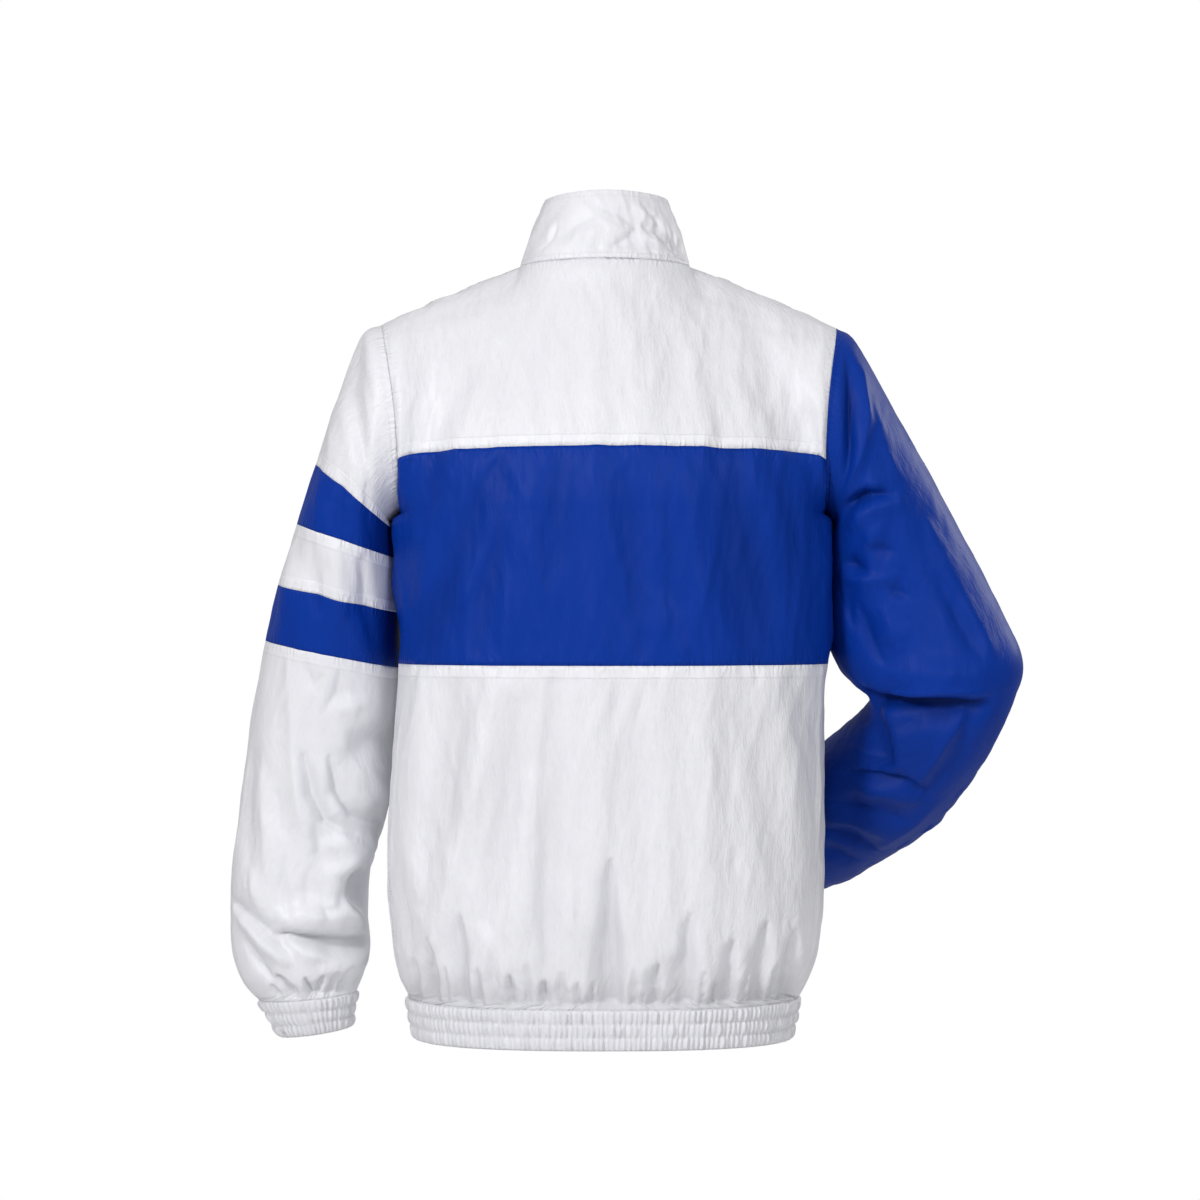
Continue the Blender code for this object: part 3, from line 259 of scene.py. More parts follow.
LEFT_SLEEVE = (
    (10, -4.6, 0.3, (226, -82), (232, -122), (224, -160), (210, -196)),
    (8, -3.6, 0.2, (212, -112), (202, -150), (194, -188)),
    (7, 2.0, 0.0, (246, -104), (252, -140), (250, -180)),
    (6, -1.8, 0.2, (262, -128), (266, -160), (262, -184)),
    (8, -2.4, 0.2, (236, -196), (242, -222), (240, -252)),
    (7, 2.0, 0.0, (258, -196), (262, -226), (262, -250)),
    (8, -2.6, 0.2, (216, -210), (210, -240), (204, -268)),
    (8, -2.8, 0.1, (268, -262), (266, -290), (262, -318)),
    (8, 2.4, 0.0, (244, -264), (242, -294), (240, -322)),
    (8, -3.0, 0.2, (222, -276), (216, -310), (212, -346)),
    (8, 2.2, 0.0, (288, -258), (294, -300), (300, -344)),
    # below the stripes
    (6, 1.8, 0.0, (292, -366), (289, -437), (281, -510)),
    (5, -2.4, 0.3, (275, -372), (268, -392)),
    (6, -3.0, 0.4, (246, -380), (247, -394), (256, -406)),
    (8, 2.2, 0.0, (240, -408), (224, -404)),
    (17, -6.5, 0.1, (190, -440), (212, -440), (234, -452)),        # pinched in at the inner side
    (16, 3.4, 0.0, (196, -492), (216, -496)),
    (6.5, -6.5, 0.62, (279, -455), (273, -488), (260, -512), (238, -526)),
    (5.5, -5.0, 0.6, (255, -457), (249, -486), (236, -507), (219, -515)),
    (7, 3.4, 0.0, (267, -460), (260, -490), (246, -511)),
    (9, 2.6, 0.0, (288, -462), (282, -500), (272, -534)),
    (13, 5.0, 0.0, (254, -536), (226, -535)),
    (7, -3.0, 0.3, (268, -520), (262, -548)),
    # the hollow at the inner side above the roll
    (8, 5.0, 0.0, (212, -532), (234, -549), (252, -562), (256, -588)),
    (11, -11.0, 0.2, (214, -562), (228, -570), (228, -592), (222, -606)),
    (6, 3.0, 0.0, (246, -574), (241, -594), (230, -608)),
    # the roll over the cuff and what hangs under it
    (11, 6.0, 0.0, (298, -602), (262, -600), (222, -602)),
    (7.5, -12.0, -0.55, (297, -616), (268, -620), (236, -624), (208, -626)),
    (5, 4.0, 0.0, (296, -620), (276, -634), (250, -643)),
    (10, 4.4, 0.0, (258, -650), (234, -646), (210, -640)),
    (5.5, -8.0, 0.6, (346, -593), (320, -612), (299, -632)),
    (8, 4.6, 0.0, (338, -604), (316, -624), (296, -642)),
    (5, -5.0, 0.5, (336, -626), (320, -648), (306, -664)),
    (6, 2.4, 0.0, (330, -560), (322, -590)),
    (5, -2.4, 0.3, (296, -548), (300, -572), (292, -600)),
    (5, -2.2, 0.3, (276, -560), (278, -590)),
    (5, -2.6, 0.3, (262, -590), (258, -604)),
    (7, 2.2, 0.0, (318, -470), (314, -560)),
    (7, -2.4, 0.2, (330, -450), (334, -520), (332, -570)),
    (6, -2.0, 0.2, (304, -486), (302, -520)),
)
CUFF_GATHERS = (
    (4.5, -9.5, -0.2, (306, -655), (298, -663), (289, -675)),
    (3.6, -9.0, 0.0, (279, -657), (276, -665), (272, -675)),
    (3.6, -8.5, 0.0, (261, -655), (264, -664), (267, -674)),
    (3.6, -8.0, 0.0, (250, -652), (252, -662), (256, -673)),
    (4.0, -8.0, 0.0, (238, -648), (242, -660), (245, -672)),
    (3.2, -6.0, 0.0, (228, -654), (231, -664), (234, -672)),
    (3.2, -5.0, 0.0, (312, -664), (305, -674)),
)
RIGHT_SLEEVE = (
    (9, -6.5, -0.5, (-214, -84), (-221, -130), (-218, -172), (-204, -226)),
    (5, 3.4, 0.0, (-220, -82), (-230, -106), (-234, -146), (-226, -184), (-210, -214)),
    (6, 2.0, 0.0, (-240, -130), (-252, -176), (-262, -196)),
    (5.5, -8.5, 0.45, (-251, -212), (-232, -214), (-216, -222), (-202, -240)),
    (9, 3.6, 0.0, (-258, -222), (-238, -226), (-222, -240)),
    (7, 3.0, 0.0, (-246, -204), (-232, -206)),
    (8, 2.6, 0.0, (-234, -262), (-248, -240)),
    (6, -3.6, 0.2, (-256, -264), (-240, -262)),
    (5, -5.0, 0.4, (-206, -276), (-220, -277), (-234, -284)),
    (7, 3.0, 0.0, (-212, -288), (-232, -292), (-250, -290)),
    (6, -3.4, 0.3, (-254, -298), (-268, -306)),
    (6, -4.0, 0.3, (-228, -318), (-238, -346), (-246, -362)),
    (8, 2.8, 0.0, (-252, -322), (-262, -350)),
    (6, -3.0, 0.3, (-204, -306), (-216, -312), (-222, -330)),
    (8, 2.6, 0.0, (-290, -240), (-318, -300), (-346, -352)),
    (7, -2.2, 0.2, (-300, -290), (-322, -336), (-340, -364)),
    # across the elbow
    (5.5, -16.0, -0.55, (-232, -392), (-250, -399), (-276, -402), (-308, -401), (-340, -401)),
    (5, 4.0, 0.0, (-262, -393), (-300, -392), (-338, -394)),
    (13, 3.4, 0.0, (-262, -378), (-330, -378)),
    (7, -4.0, 0.2, (-262, -424), (-300, -418), (-338, -410)),
    # the forearm
    (9, -6.0, -0.5, (-242, -404), (-252, -430), (-258, -456), (-246, -462)),
    (6, 3.4, 0.0, (-254, -410), (-264, -436), (-268, -460), (-256, -468)),
    (5.5, -6.5, -0.5, (-226, -468), (-250, -470), (-272, -474), (-290, -484)),
    (9, 4.0, 0.0, (-232, -482), (-262, -486), (-284, -492)),
    (9, -3.2, 0.3, (-334, -410), (-316, -446), (-294, -482)),
    (7, 2.8, 0.0, (-322, -414), (-300, -452), (-284, -478)),
    (6, -5.0, 0.4, (-214, -500), (-240, -504), (-268, -512)),
    (7, 3.0, 0.0, (-216, -516), (-240, -520), (-262, -526)),
    (6, -5.0, 0.4, (-202, -526), (-226, -532), (-246, -540)),
    (6, -4.4, 0.3, (-200, -546), (-214, -548), (-228, -552)),
    (7, 3.0, 0.0, (-300, -500), (-280, -520), (-256, -538)),
)


# ---------------------------------------------------------------- form of the coat

def smoothstep(lo, hi, x):
    t = np.clip((np.asarray(x, float) - lo) / (hi - lo), 0.0, 1.0)
    return t * t * (3 - 2 * t)


def unit(v):
    return v / np.maximum(np.linalg.norm(v, axis=-1, keepdims=True), 1e-12)


def hermite(p0, m0, p1, m1, t):
    return ((2 * t**3 - 3 * t**2 + 1) * p0 + (t**3 - 2 * t**2 + t) * m0
            + (3 * t**2 - 2 * t**3) * p1 + (t**3 - t**2) * m1)


def table_at(keys, values, key):
    """Smooth curve through table rows."""
    slope = np.gradient(values, keys, axis=0)
    i = int(np.clip(np.searchsorted(keys, key) - 1, 0, len(keys) - 2))
    step = keys[i + 1] - keys[i]
    return hermite(values[i], slope[i] * step, values[i + 1], slope[i + 1] * step, (key - keys[i]) / step)


def section(z, side, shares):
    """Body section at height z: back, right or left (front) side, counterclockwise seen from above."""
    left, right, back, front, seam_l, seam_r = table_at(BODY[:, 0], BODY[:, 1:], z / MM) * MM
    mid_x, half_w = (left + right) / 2, (left - right) / 2
    angle = np.linspace(-math.pi / 2, 3 * math.pi / 2, 1441)
    c, s = np.cos(angle), np.sin(angle)
    power = np.where(s >= 0, BACK_POWER, FRONT_POWER)
    x = mid_x + half_w * np.sign(c) * np.abs(c) ** (2 / power)
    y = np.where(s >= 0, back, -front) * np.sign(s) * np.abs(s) ** (2 / power)
    length = np.concatenate([[0], np.cumsum(np.hypot(np.diff(x), np.diff(y)))])
    quarter = len(angle) // 4
    first, last = slice(0, 2 * quarter), slice(2 * quarter, len(angle))
    at_left = np.interp(seam_l, y[first], length[first])
    at_right = np.interp(-seam_r, -y[last], length[last])
    zip_l = np.interp(ZIP_EDGE, x[:quarter], length[:quarter])
    zip_r = np.interp(ZIP_EDGE, -x[-quarter:][::-1], length[-quarter:][::-1])
    start, stop = {"left": (zip_l, at_left), "back": (at_left, at_right), "right": (at_right, zip_r)}[side]
    at = start + (stop - start) * np.asarray(shares)
    return np.stack([np.interp(at, length, x), np.interp(at, length, y), np.full(len(at), z)], 1)


def neck_loop(size, angle):
    c, s = np.cos(angle), np.sin(angle)
    back = s >= 0
    x = (size["left"] + size["right"]) / 2 + (size["left"] - size["right"]) / 2 * c
    y = size["y_mid"] + np.where(back, (size["y_back"] - size["y_mid"]) * s,
                                 (size["y_mid"] - size["y_front"]) * s)
    z = size["z_side"] + np.where(back, size["z_back"] - size["z_side"],
                                  size["z_front"] - size["z_side"]) * s * s
    return np.stack([x, y, z], 1) * MM


def neck_angles(size, side, count):
    half = (size["left"] - size["right"]) / 2 * MM
    mid = (size["left"] + size["right"]) / 2 * MM
    to_left, to_right = math.asin((ZIP_EDGE - mid) / half), math.asin((ZIP_EDGE + mid) / half)
    lo, hi = {"back": (0, math.pi), "right": (math.pi, 1.5 * math.pi - to_right),
              "left": (-0.5 * math.pi + to_left, 0)}[side]
    return np.linspace(lo, hi, count + 1)


def top_edge(side):
    """Shoulder seams and neck seam along the top of one side."""
    tips = {k: np.array(v, float) * MM for k, v in SHOULDER_TIP.items()}
    count = BACK_NECK_COLS if side == "back" else FRONT_NECK_COLS
    neck = neck_loop(NECK_SEAM, neck_angles(NECK_SEAM, side, count))
    share = np.linspace(0, 1, SHOULDER_COLS + 1)[:, None]
    rise = 0.002 * np.sin(math.pi * share) * np.array([0, 0, 1.0])

    def seam(tip, neck_end):
        return tip + (neck_end - tip) * share + rise
    if side == "back":
        return np.concatenate([seam(tips["left"], neck[0]), neck[1:-1], seam(tips["right"], neck[-1])[::-1]])
    if side == "right":
        return np.concatenate([seam(tips["right"], neck[0]), neck[1:]])
    return np.concatenate([neck[:-1], seam(tips["left"], neck[-1])[::-1]])


def upper_side(side):
    """Rows of points from the armpit ring up to the shoulders for one side."""
    cols = BACK_COLS if side == "back" else FRONT_COLS
    share = np.linspace(0, 1, cols + 1)
    foot, top = section(ARMPIT_Z, side, share), top_edge(side)
    if side == "back":
        edge = np.abs(2 * share - 1)
    else:
        edge = 1 - share if side == "right" else share
    neck = smoothstep(0.75, 0.1, edge)
    near = smoothstep(0.62, 1.0, edge)[:, None]
    out = 1.0 if side == "back" else -1.0
    rise = (top[:, 2] - foot[:, 2])[:, None]
    arm = np.array([0.0, 4 * ARMHOLE_DEPTH * out, 0.0])
    leave = near * arm + (1 - near) * (np.array([0, 0.02 * out, 0]) + np.array([0, 0, 1.0]) * rise * 1.05)
    lean = np.stack([0 * neck, -out * (0.20 - 0.10 * neck), 0.02 + 0.10 * neck], 1)
    reach = near * -arm + (1 - near) * lean

    # the corner between neck and shoulder seam smooths out in the cloth below it
    soft = top.copy()
    for _ in range(500):
        soft[1:-1] = (soft[:-2] + 2 * soft[1:-1] + soft[2:]) / 4

    def row(t):
        t = t[:, None]
        point = hermite(foot, leave, top + (soft - top) * smoothstep(1.0, 0.72, t), reach, t)
        point[:, 0] -= np.sign(foot[:, 0]) * 0.007 * edge ** 6 * np.sin(math.pi * t[:, 0]) ** 2
        return point
    seam_z = YOKE_SEAM_Z - YOKE_SEAM_DROP * edge ** 2.5
    lo, hi = np.zeros(cols + 1), np.ones(cols + 1)
    for _ in range(40):
        mid = (lo + hi) / 2
        below = row(mid)[:, 2] < seam_z
        lo, hi = np.where(below, mid, lo), np.where(below, hi, mid)
    return np.array([row(lo * i / ARM_ROWS if i <= ARM_ROWS else lo + (1 - lo) * (i - ARM_ROWS) / YOKE_ROWS)
                     for i in range(ARM_ROWS + YOKE_ROWS + 1)])


def arm_rings(table, finer=FINE):
    """Section frames down a sleeve: centre, outward half axis, depth axis, ring number of each table row."""
    values = table[:, :6] * MM
    rows, marks = [0.0], [0]
    for i in range(1, len(table)):
        count = int(table[i, 6]) * finer
        rows += [i - 1 + (k + 1) / count for k in range(count)]
        marks.append(marks[-1] + count)
    keys = np.arange(len(table), dtype=float)
    at = np.array([table_at(keys, values, r) for r in rows])
    outer = np.stack([at[:, 0], at[:, 4], at[:, 1]], 1)
    inner = np.stack([at[:, 2], at[:, 4], at[:, 3]], 1)
    centre, half = (outer + inner) / 2, (outer - inner) / 2
    along = unit(np.gradient(centre, axis=0))
    # sections of a hanging sleeve stay level from back to front, those of a bent forearm turn with it
    along[:, 1] *= smoothstep(0.25, 0.5, np.abs(along[:, 1]))
    depth = unit(np.cross(half, along)) * at[:, 5:6]
    depth *= np.sign(depth[:, 1:2])
    return centre, half, depth, marks


def sleeve_grid(table, armhole, finer):
    """Rings of points down a sleeve from the armhole loop (top, back, armpit, front)."""
    centre, half, depth, marks = arm_rings(table, finer)
    local = armhole - centre[0]
    across = local @ half[0] / (half[0] @ half[0])
    back = local @ depth[0] / (depth[0] @ depth[0])
    loop = np.unwrap(np.arctan2(back, across))
    loop -= 2 * math.pi * round(loop[0] / (2 * math.pi))
    even = np.linspace(0, 2 * math.pi, len(armhole), endpoint=False)
    rest = local - np.cos(loop)[:, None] * half[0] - np.sin(loop)[:, None] * depth[0]
    rings = []
    for k in range(len(centre)):
        mix = float(smoothstep(0, 7 * finer, k))
        turn = (loop + (even - loop) * mix)[:, None]
        rings.append(centre[k] + np.cos(turn) * half[k] + np.sin(turn) * depth[k] + rest * (1 - mix))
    return np.array(rings), marks


class Shell:
    """All outer points of the cloth with shared seam points, so that creases run on across the seams."""

    def __init__(self):
        self.points, self.quads, self.panels = np.zeros((0, 3)), [], {}

    def add(self, points):
        points = np.asarray(points)
        first = len(self.points)
        self.points = np.concatenate([self.points, points.reshape(-1, 3)])
        return np.arange(first, len(self.points)).reshape(points.shape[:-1])

    def panel(self, name, ids):
        """Adds rows and columns of point numbers as one piece of cloth, or more rows on top of a piece."""
        corners = [ids[:-1, :-1], ids[:-1, 1:], ids[1:, 1:], ids[1:, :-1]]
        self.quads.append(np.stack(corners, -1).reshape(-1, 4))
        self.panels[name] = np.concatenate([self.panels[name], ids[1:]]) if name in self.panels else ids

    def normals(self):
        quads = np.concatenate(self.quads)
        p = self.points[quads]
        face = unit(np.cross(p[:, 2] - p[:, 0], p[:, 3] - p[:, 1]))
        total = np.zeros_like(self.points)
        for k in range(4):
            np.add.at(total, quads[:, k], face)
        return unit(total)


def press(shell, normals, ids, folds, facing, scale=0.95, widen=1.0, pointed=False):
    """Moves points along their normals by a table of creases on the side that faces +Y or -Y."""
    where = np.unique(ids)
    p, n = shell.points[where], normals[where]
    x, z = p[:, 0] / MM, p[:, 2] / MM
    height = np.zeros(len(where))
    for number, (width, depth, lean, *path) in enumerate(folds):
        path = np.array(path, float)
        legs = np.linalg.norm(np.diff(path, axis=0), axis=1)
        total, run = legs.sum(), 0.0
        best, share, side = np.full(len(where), 1e9), np.zeros(len(where)), np.ones(len(where))
        for (x0, z0), (x1, z1), leg in zip(path[:-1], path[1:], legs):
            dx, dz = x1 - x0, z1 - z0
            t = np.clip(((x - x0) * dx + (z - z0) * dz) / (dx * dx + dz * dz), 0, 1)
            off_x, off_z = x - x0 - t * dx, z - z0 - t * dz
            away = np.hypot(off_x, off_z)
            closer = away < best
            best = np.where(closer, away, best)
            share = np.where(closer, (run + t * leg) / total, share)
            side = np.where(closer, np.sign(off_x * dz - off_z * dx), side)
            run += leg
        wander = 1 + 0.16 * np.sin(9.0 * share + 1.7 * number)
        if pointed:
            # a gather: a sharp tip at the top, ever wider and deeper down to the band
            body = np.interp(share, [0, 0.12, 0.5, 1.0], [0.18, 0.5, 1.0, 1.2])
            along = np.interp(share, [0, 0.15, 0.5, 1.0], [0.3, 0.6, 0.9, 1.0])
        else:
            body = 0.75 + 0.4 * np.sin(math.pi * share)
            along = 0.30 + 0.70 * np.sin(math.pi * (0.10 + 0.80 * share))
        reach = width * widen * wander * (1 + lean * side) * body
        crest = depth * np.exp(-(best / reach) ** (1.4 if width < 7.5 else 2.0)) * along
        height = np.minimum(height, crest) if pointed else height + crest
    shift = height * scale * MM * smoothstep(0.02, 0.45, n[:, 1] * facing)
    return where, shift


def crinkles(x, z, seed, across, along, count=6):
    """Uneven crinkles of thin crisp cloth: tilted bent waves with sharp ridges, always the same.
    across and along are the spacing and the length of one crinkle, mm. About -1 to 2, middle near 0."""
    rng = np.random.default_rng(seed)
    total = np.zeros_like(x)
    for k in range(count):
        tilt = rng.uniform(-0.35, 0.35)
        u = math.pi * (x + tilt * z) / (across * rng.uniform(0.7, 1.5))
        v = math.pi * (z - 0.2 * tilt * x) / (along * rng.uniform(0.7, 1.5))
        phase = rng.uniform(0, 6.28, 4)
        bend = 0.9 * np.sin(v * 1.1 + phase[0]) + 0.6 * np.sin(v * 0.6 + u * 0.23 + phase[1])
        ridge = 1 - np.abs(np.sin(u + bend + phase[3]))
        total += ridge * (0.5 + 0.5 * np.sin(v * 0.7 + 0.37 * u + phase[2]))
    return (total - 0.18 * count) / (0.22 * math.sqrt(count))


def gathers(rows, seed):
    """Gather table rows as creases that run straight down to the band, with a small one in each gap."""
    rng = np.random.default_rng(seed)
    made = []
    for x0, z0, x1, w, d in rows:
        short = z0 < -625
        path = (x0, z0), ((x0 + x1) / 2, (z0 - 672) / 2), (x1, GATHER_FOOT)
        made.append((w * (1.15 if short else 1.5), d * (1.6 if short else 1.3), -0.35) + path)
    feet = sorted(row[2] for row in rows)
    for left, right in zip(feet[:-1], feet[1:]):
        count = int((right - left) / GATHER_STEP)
        for k in range(1, 1 + count):
            x = left + (right - left) * (k + rng.uniform(-0.15, 0.15)) / (1 + count)
            tall, deep = rng.uniform(8, 20), rng.uniform(2.8, 4.6)
            made.append((3.6, -deep, -0.2, (x + rng.uniform(-2, 2), -668 + tall), (x, GATHER_FOOT)))
            feet.append(x)
    return made, np.array(sorted(feet))


def build_shell():
    shell = Shell()
    up = np.linspace(0, 1, LOWER_ROWS + 1) ** 1.12        # closer rows at the hem, for its gathers
    heights = np.concatenate([HEM_SEAM_Z + (BAND_SEAM_Z - HEM_SEAM_Z) * up,
                              np.linspace(BAND_SEAM_Z, ARMPIT_Z, BAND_ROWS + 1)[1:]])
    counts = {"back": BACK_COLS, "right": FRONT_COLS, "left": FRONT_COLS}
    body = {s: np.array([section(z, s, np.linspace(0, 1, c + 1)) for z in heights])
            for s, c in counts.items()}
    back = shell.add(body["back"])
    right = np.concatenate([back[:, -1:], shell.add(body["right"][:, 1:])], 1)
    left = np.concatenate([shell.add(body["left"][:, :-1]), back[:, :1]], 1)
    upper = {s: upper_side(s) for s in counts}
    up_back = np.concatenate([back[-1:], shell.add(upper["back"][1:])])
    n = SHOULDER_COLS + 1

    def front_ids(grid, foot, seam, seam_first):
        rows = shell.add(grid[1:-1])
        own = shell.add(grid[-1, n:] if seam_first else grid[-1, :-n])
        top = np.concatenate([seam, own] if seam_first else [own, seam])
        return np.concatenate([foot[None], rows, top[None]])
    up_right = front_ids(upper["right"], right[-1], up_back[-1, -n:][::-1], True)
    up_left = front_ids(upper["left"], left[-1], up_back[-1, :n][::-1], False)
    for ids, up, name in ((back, up_back, "back"), (right, up_right, "front_right"),
                          (left, up_left, "front_left")):
        shell.panel(name + "_lower", ids[:LOWER_ROWS + 1])
        shell.panel(name + "_band", ids[LOWER_ROWS:])
        shell.panel(name + "_band", up[:ARM_ROWS + 1])
        shell.panel(name + "_upper", up[ARM_ROWS:])
    rows = ARM_ROWS + YOKE_ROWS
    loops = {"left": np.concatenate([up_back[::-1, 0], up_left[1:rows, -1]]),
             "right": np.concatenate([up_back[::-1, -1], up_right[1:rows, 0]])}
    sleeves = {}
    for arm, table in (("left", LEFT_ARM), ("right", RIGHT_ARM)):
        armhole, cols = shell.points[loops[arm]], SLEEVE_COLS[arm]
        at = np.linspace(0, len(armhole), cols, endpoint=False)
        around = np.arange(len(armhole) + 1)
        closed = np.concatenate([armhole, armhole[:1]])
        armhole = np.stack([np.interp(at, around, closed[:, k]) for k in range(3)], 1)
        rings, marks = sleeve_grid(table, armhole, SLEEVE_FINE[arm])
        ids = shell.add(rings)
        # the tube starts and ends on the underarm line, where its own seam is
        ids = np.roll(ids, -cols // 2, axis=1)
        ids = np.concatenate([ids, ids[:, :1]], 1)
        if arm == "left":
            ids = ids[:, ::-1]
            for part, a, b in (("cap", 0, 3), ("stripe_upper", 3, 4), ("middle", 4, 5),
                               ("stripe_lower", 5, 6), ("lower", 6, 14)):
                shell.panel("sleeve_left_" + part, ids[marks[a]:marks[b] + 1])
        else:
            shell.panel("sleeve_right", ids)
        sleeves[arm] = ids
    return shell, sleeves, np.concatenate(list(loops.values()))


def crease(shell, sleeves, armholes):
    """Puts the creases, gathers and crinkles into the cloth. Works out the painted shade of the crease
    valleys, of the gaps between sleeves and body and of the right forearm.
    """
    normals = shell.normals()
    shift = np.zeros(len(shell.points))
    arm_ids = {arm: np.unique(ids) for arm, ids in sleeves.items()}
    in_arm = np.zeros(len(shell.points), bool)
    for ids in arm_ids.values():
        in_arm[ids] = True
    torso = np.nonzero(~in_arm)[0]
    for folds, facing in ((BACK_YOKE + BACK_BAND, 1), (FRONT_UPPER + FRONT_BAND, -1)):
        where, height = press(shell, normals, torso, folds, facing, 0.8, 1.3)
        shift[where] += height
    for folds, facing in ((BACK_LOWER, 1), (FRONT_LOWER, -1)):
        where, height = press(shell, normals, torso, folds, facing, 1.0, 1.5)
        shift[where] += height
    puff = np.zeros(len(shell.points))
    for rows, facing, seed in ((BACK_GATHERS, 1, 3), (FRONT_GATHERS, -1, 4)):
        folds, feet = gathers(rows, seed)
        where, height = press(shell, normals, torso, folds, facing, 1.5, pointed=True)
        shift[where] += height
        px, pz = shell.points[torso, 0] / MM, shell.points[torso, 2] / MM
        at = np.clip(np.searchsorted(feet, px), 1, len(feet) - 1)
        share = np.clip((px - feet[at - 1]) / (feet[at] - feet[at - 1]), 0, 1)
        arch = np.sin(math.pi * share) ** 0.7 * (normals[torso, 1] * facing > 0)
        puff[torso] += arch * np.exp(-((pz + 659) / 11.0) ** 2)
    for arm, folds in (("left", LEFT_SLEEVE), ("right", RIGHT_SLEEVE)):
        where, height = press(shell, normals, arm_ids[arm], folds, 1, 1.5)
        shift[where] += height
        # the hidden front of the sleeve: the same kinds of fold, shifted down and turned a little
        aside = 6 if arm == "left" else -6
        other = [(w * 1.2, d * 0.75, -lean) + tuple((x + aside, z - 16) for x, z in path)
                 for w, d, lean, *path in folds]
        where, height = press(shell, normals, arm_ids[arm], other, -1, 1.3)
        shift[where] += height
    for facing in (1, -1):
        where, height = press(shell, normals, arm_ids["left"], CUFF_GATHERS, facing, 1.0, pointed=True)
        shift[where] += height
    x, y, z = shell.points.T / MM
    around = np.where(np.abs(normals[:, 1]) > 0.35, x, x + y * np.sign(x))
    fold = shift.copy()
    shift += MM * np.where(in_arm, 0.35, 0.55) * crinkles(around, z, 11, across=34.0, along=150.0)
    shift += MM * np.where(in_arm, 0.12, 0.22) * crinkles(around, z, 12, across=13.0, along=50.0)
    # the cloth stands out over the hem band between the gathers and tucks in under itself
    shift += MM * 0.6 * puff
    calm = np.ones(len(shell.points))
    # the elastic holds the edges flat
    ends = smoothstep(-0.0005, 0.0036, shell.points[:, 2] - HEM_SEAM_Z)
    ends[in_arm] = 1
    calm[armholes] = 0
    front = torso[normals[torso, 1] < 0]
    calm[front] *= smoothstep(0.009, 0.030, np.abs(shell.points[front, 0]))
    tx, ty, tz = shell.points[torso].T
    calm[torso] *= smoothstep(0.004, 0.035, np.hypot(np.hypot(tx, ty) - 0.078, tz))
    for arm, side in (("left", 1), ("right", -1)):
        near = torso[(tx * side > 0.1) & (tz > ARMPIT_Z - 0.02)]
        calm[near] *= 0.35 + 0.65 * smoothstep(0.0, 0.02, 0.206 - np.abs(shell.points[near, 0]))
        ids = sleeves[arm]
        finer = SLEEVE_FINE[arm]
        rise = np.minimum(1, np.arange(len(ids)) / (1.5 * finer))
        fall = np.minimum(1, np.arange(len(ids))[::-1] / (0.25 * finer))
        for k, ring in enumerate(ids):
            calm[ring] *= rise[k]
            ends[ring] *= fall[k]
        # cloth pressed between arm and body stays flat
        ring = ids[finer // 2:]
        reach, low = np.abs(shell.points[ring, 0]), shell.points[ring, 2]
        calm[ring] *= 1 - 0.96 * smoothstep(0.222, 0.208, reach) * smoothstep(-0.40, -0.34, low)
    # the sides under the arms fill out to the sleeves
    armpit = smoothstep(-230.2, -236, z)
    right_fill = 7.6 * smoothstep(-182, -198, x) * smoothstep(-400, -330, z) * armpit
    left_fill = (6.0 + 2.6 * smoothstep(-270, -246, z)) * smoothstep(176, 188, x)
    left_fill = left_fill * smoothstep(-350, -290, z) * armpit
    fill = MM * ~in_arm * (right_fill + left_fill)
    shell.points = shell.points + normals * (shift * calm * ends + fill)[:, None]
    # painted shade: crease valleys darken the base colour by their depth, more over the hem gathers and near
    # the hem seam
    gathered = 1 + smoothstep(-640, -658, z) + 0.6 * (1 - ends)
    shell.hollow = np.clip(-fold * calm * gathered / MM, 0.0, DEEPEST)
    shell.hollow[sleeves["left"]] *= LEFT_SLEEVE_SHADE
    # painted shade where little light comes in between a sleeve and the body
    for arm, side, far in (("left", 1, 0.230), ("right", -1, 0.226)):
        ids = sleeves[arm]
        px, pz = shell.points[ids, 0] * side, shell.points[ids, 2]
        shade_share = smoothstep(far, 0.200, px) * smoothstep(-0.19, -0.26, pz) * smoothstep(-0.62, -0.50, pz)
        shell.hollow[ids] = np.maximum(shell.hollow[ids], TUCK_SHADE * shade_share)
    # painted shade on the right forearm below the elbow, fuller towards the body
    forearm = sleeves["right"]
    shade_share = 0.35 + 0.65 * smoothstep(0.340, 0.220, -shell.points[forearm, 0])
    shade_share *= smoothstep(-0.395, -0.425, shell.points[forearm, 2])
    shell.hollow[forearm] = np.maximum(shell.hollow[forearm], FOREARM_SHADE * shade_share)


# ---------------------------------------------------------------- cloth pieces

def spread(grid):
    """Distances across and along a grid of points, m, as the cloth would lie flat."""
    across = np.linalg.norm(np.diff(grid, axis=1), axis=2)
    along = np.linalg.norm(np.diff(grid, axis=0), axis=2)
    u = np.concatenate([np.zeros((len(grid), 1)), np.cumsum(across, 1)], 1)
    v = np.concatenate([np.zeros((1, grid.shape[1])), np.cumsum(along, 0)], 0)
    return u, v


def piece(name, bm, material, replaced=(), wall=0.0):
    """Finishes a bmesh as a named piece that moves with the coat."""
    mesh = bpy.data.meshes.new(name)
    bm.to_mesh(mesh)
    bm.free()
    obj = bpy.data.objects.new(name, mesh)
    bpy.context.scene.collection.objects.link(obj)
    mesh.materials.append(material)
    mesh.shade_smooth()
    if wall:
        solid = obj.modifiers.new("wall", "SOLIDIFY")
        solid.thickness, solid.offset = wall, -1.0
    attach(obj, "coat")
    if replaced:
        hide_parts(*replaced)
    return obj


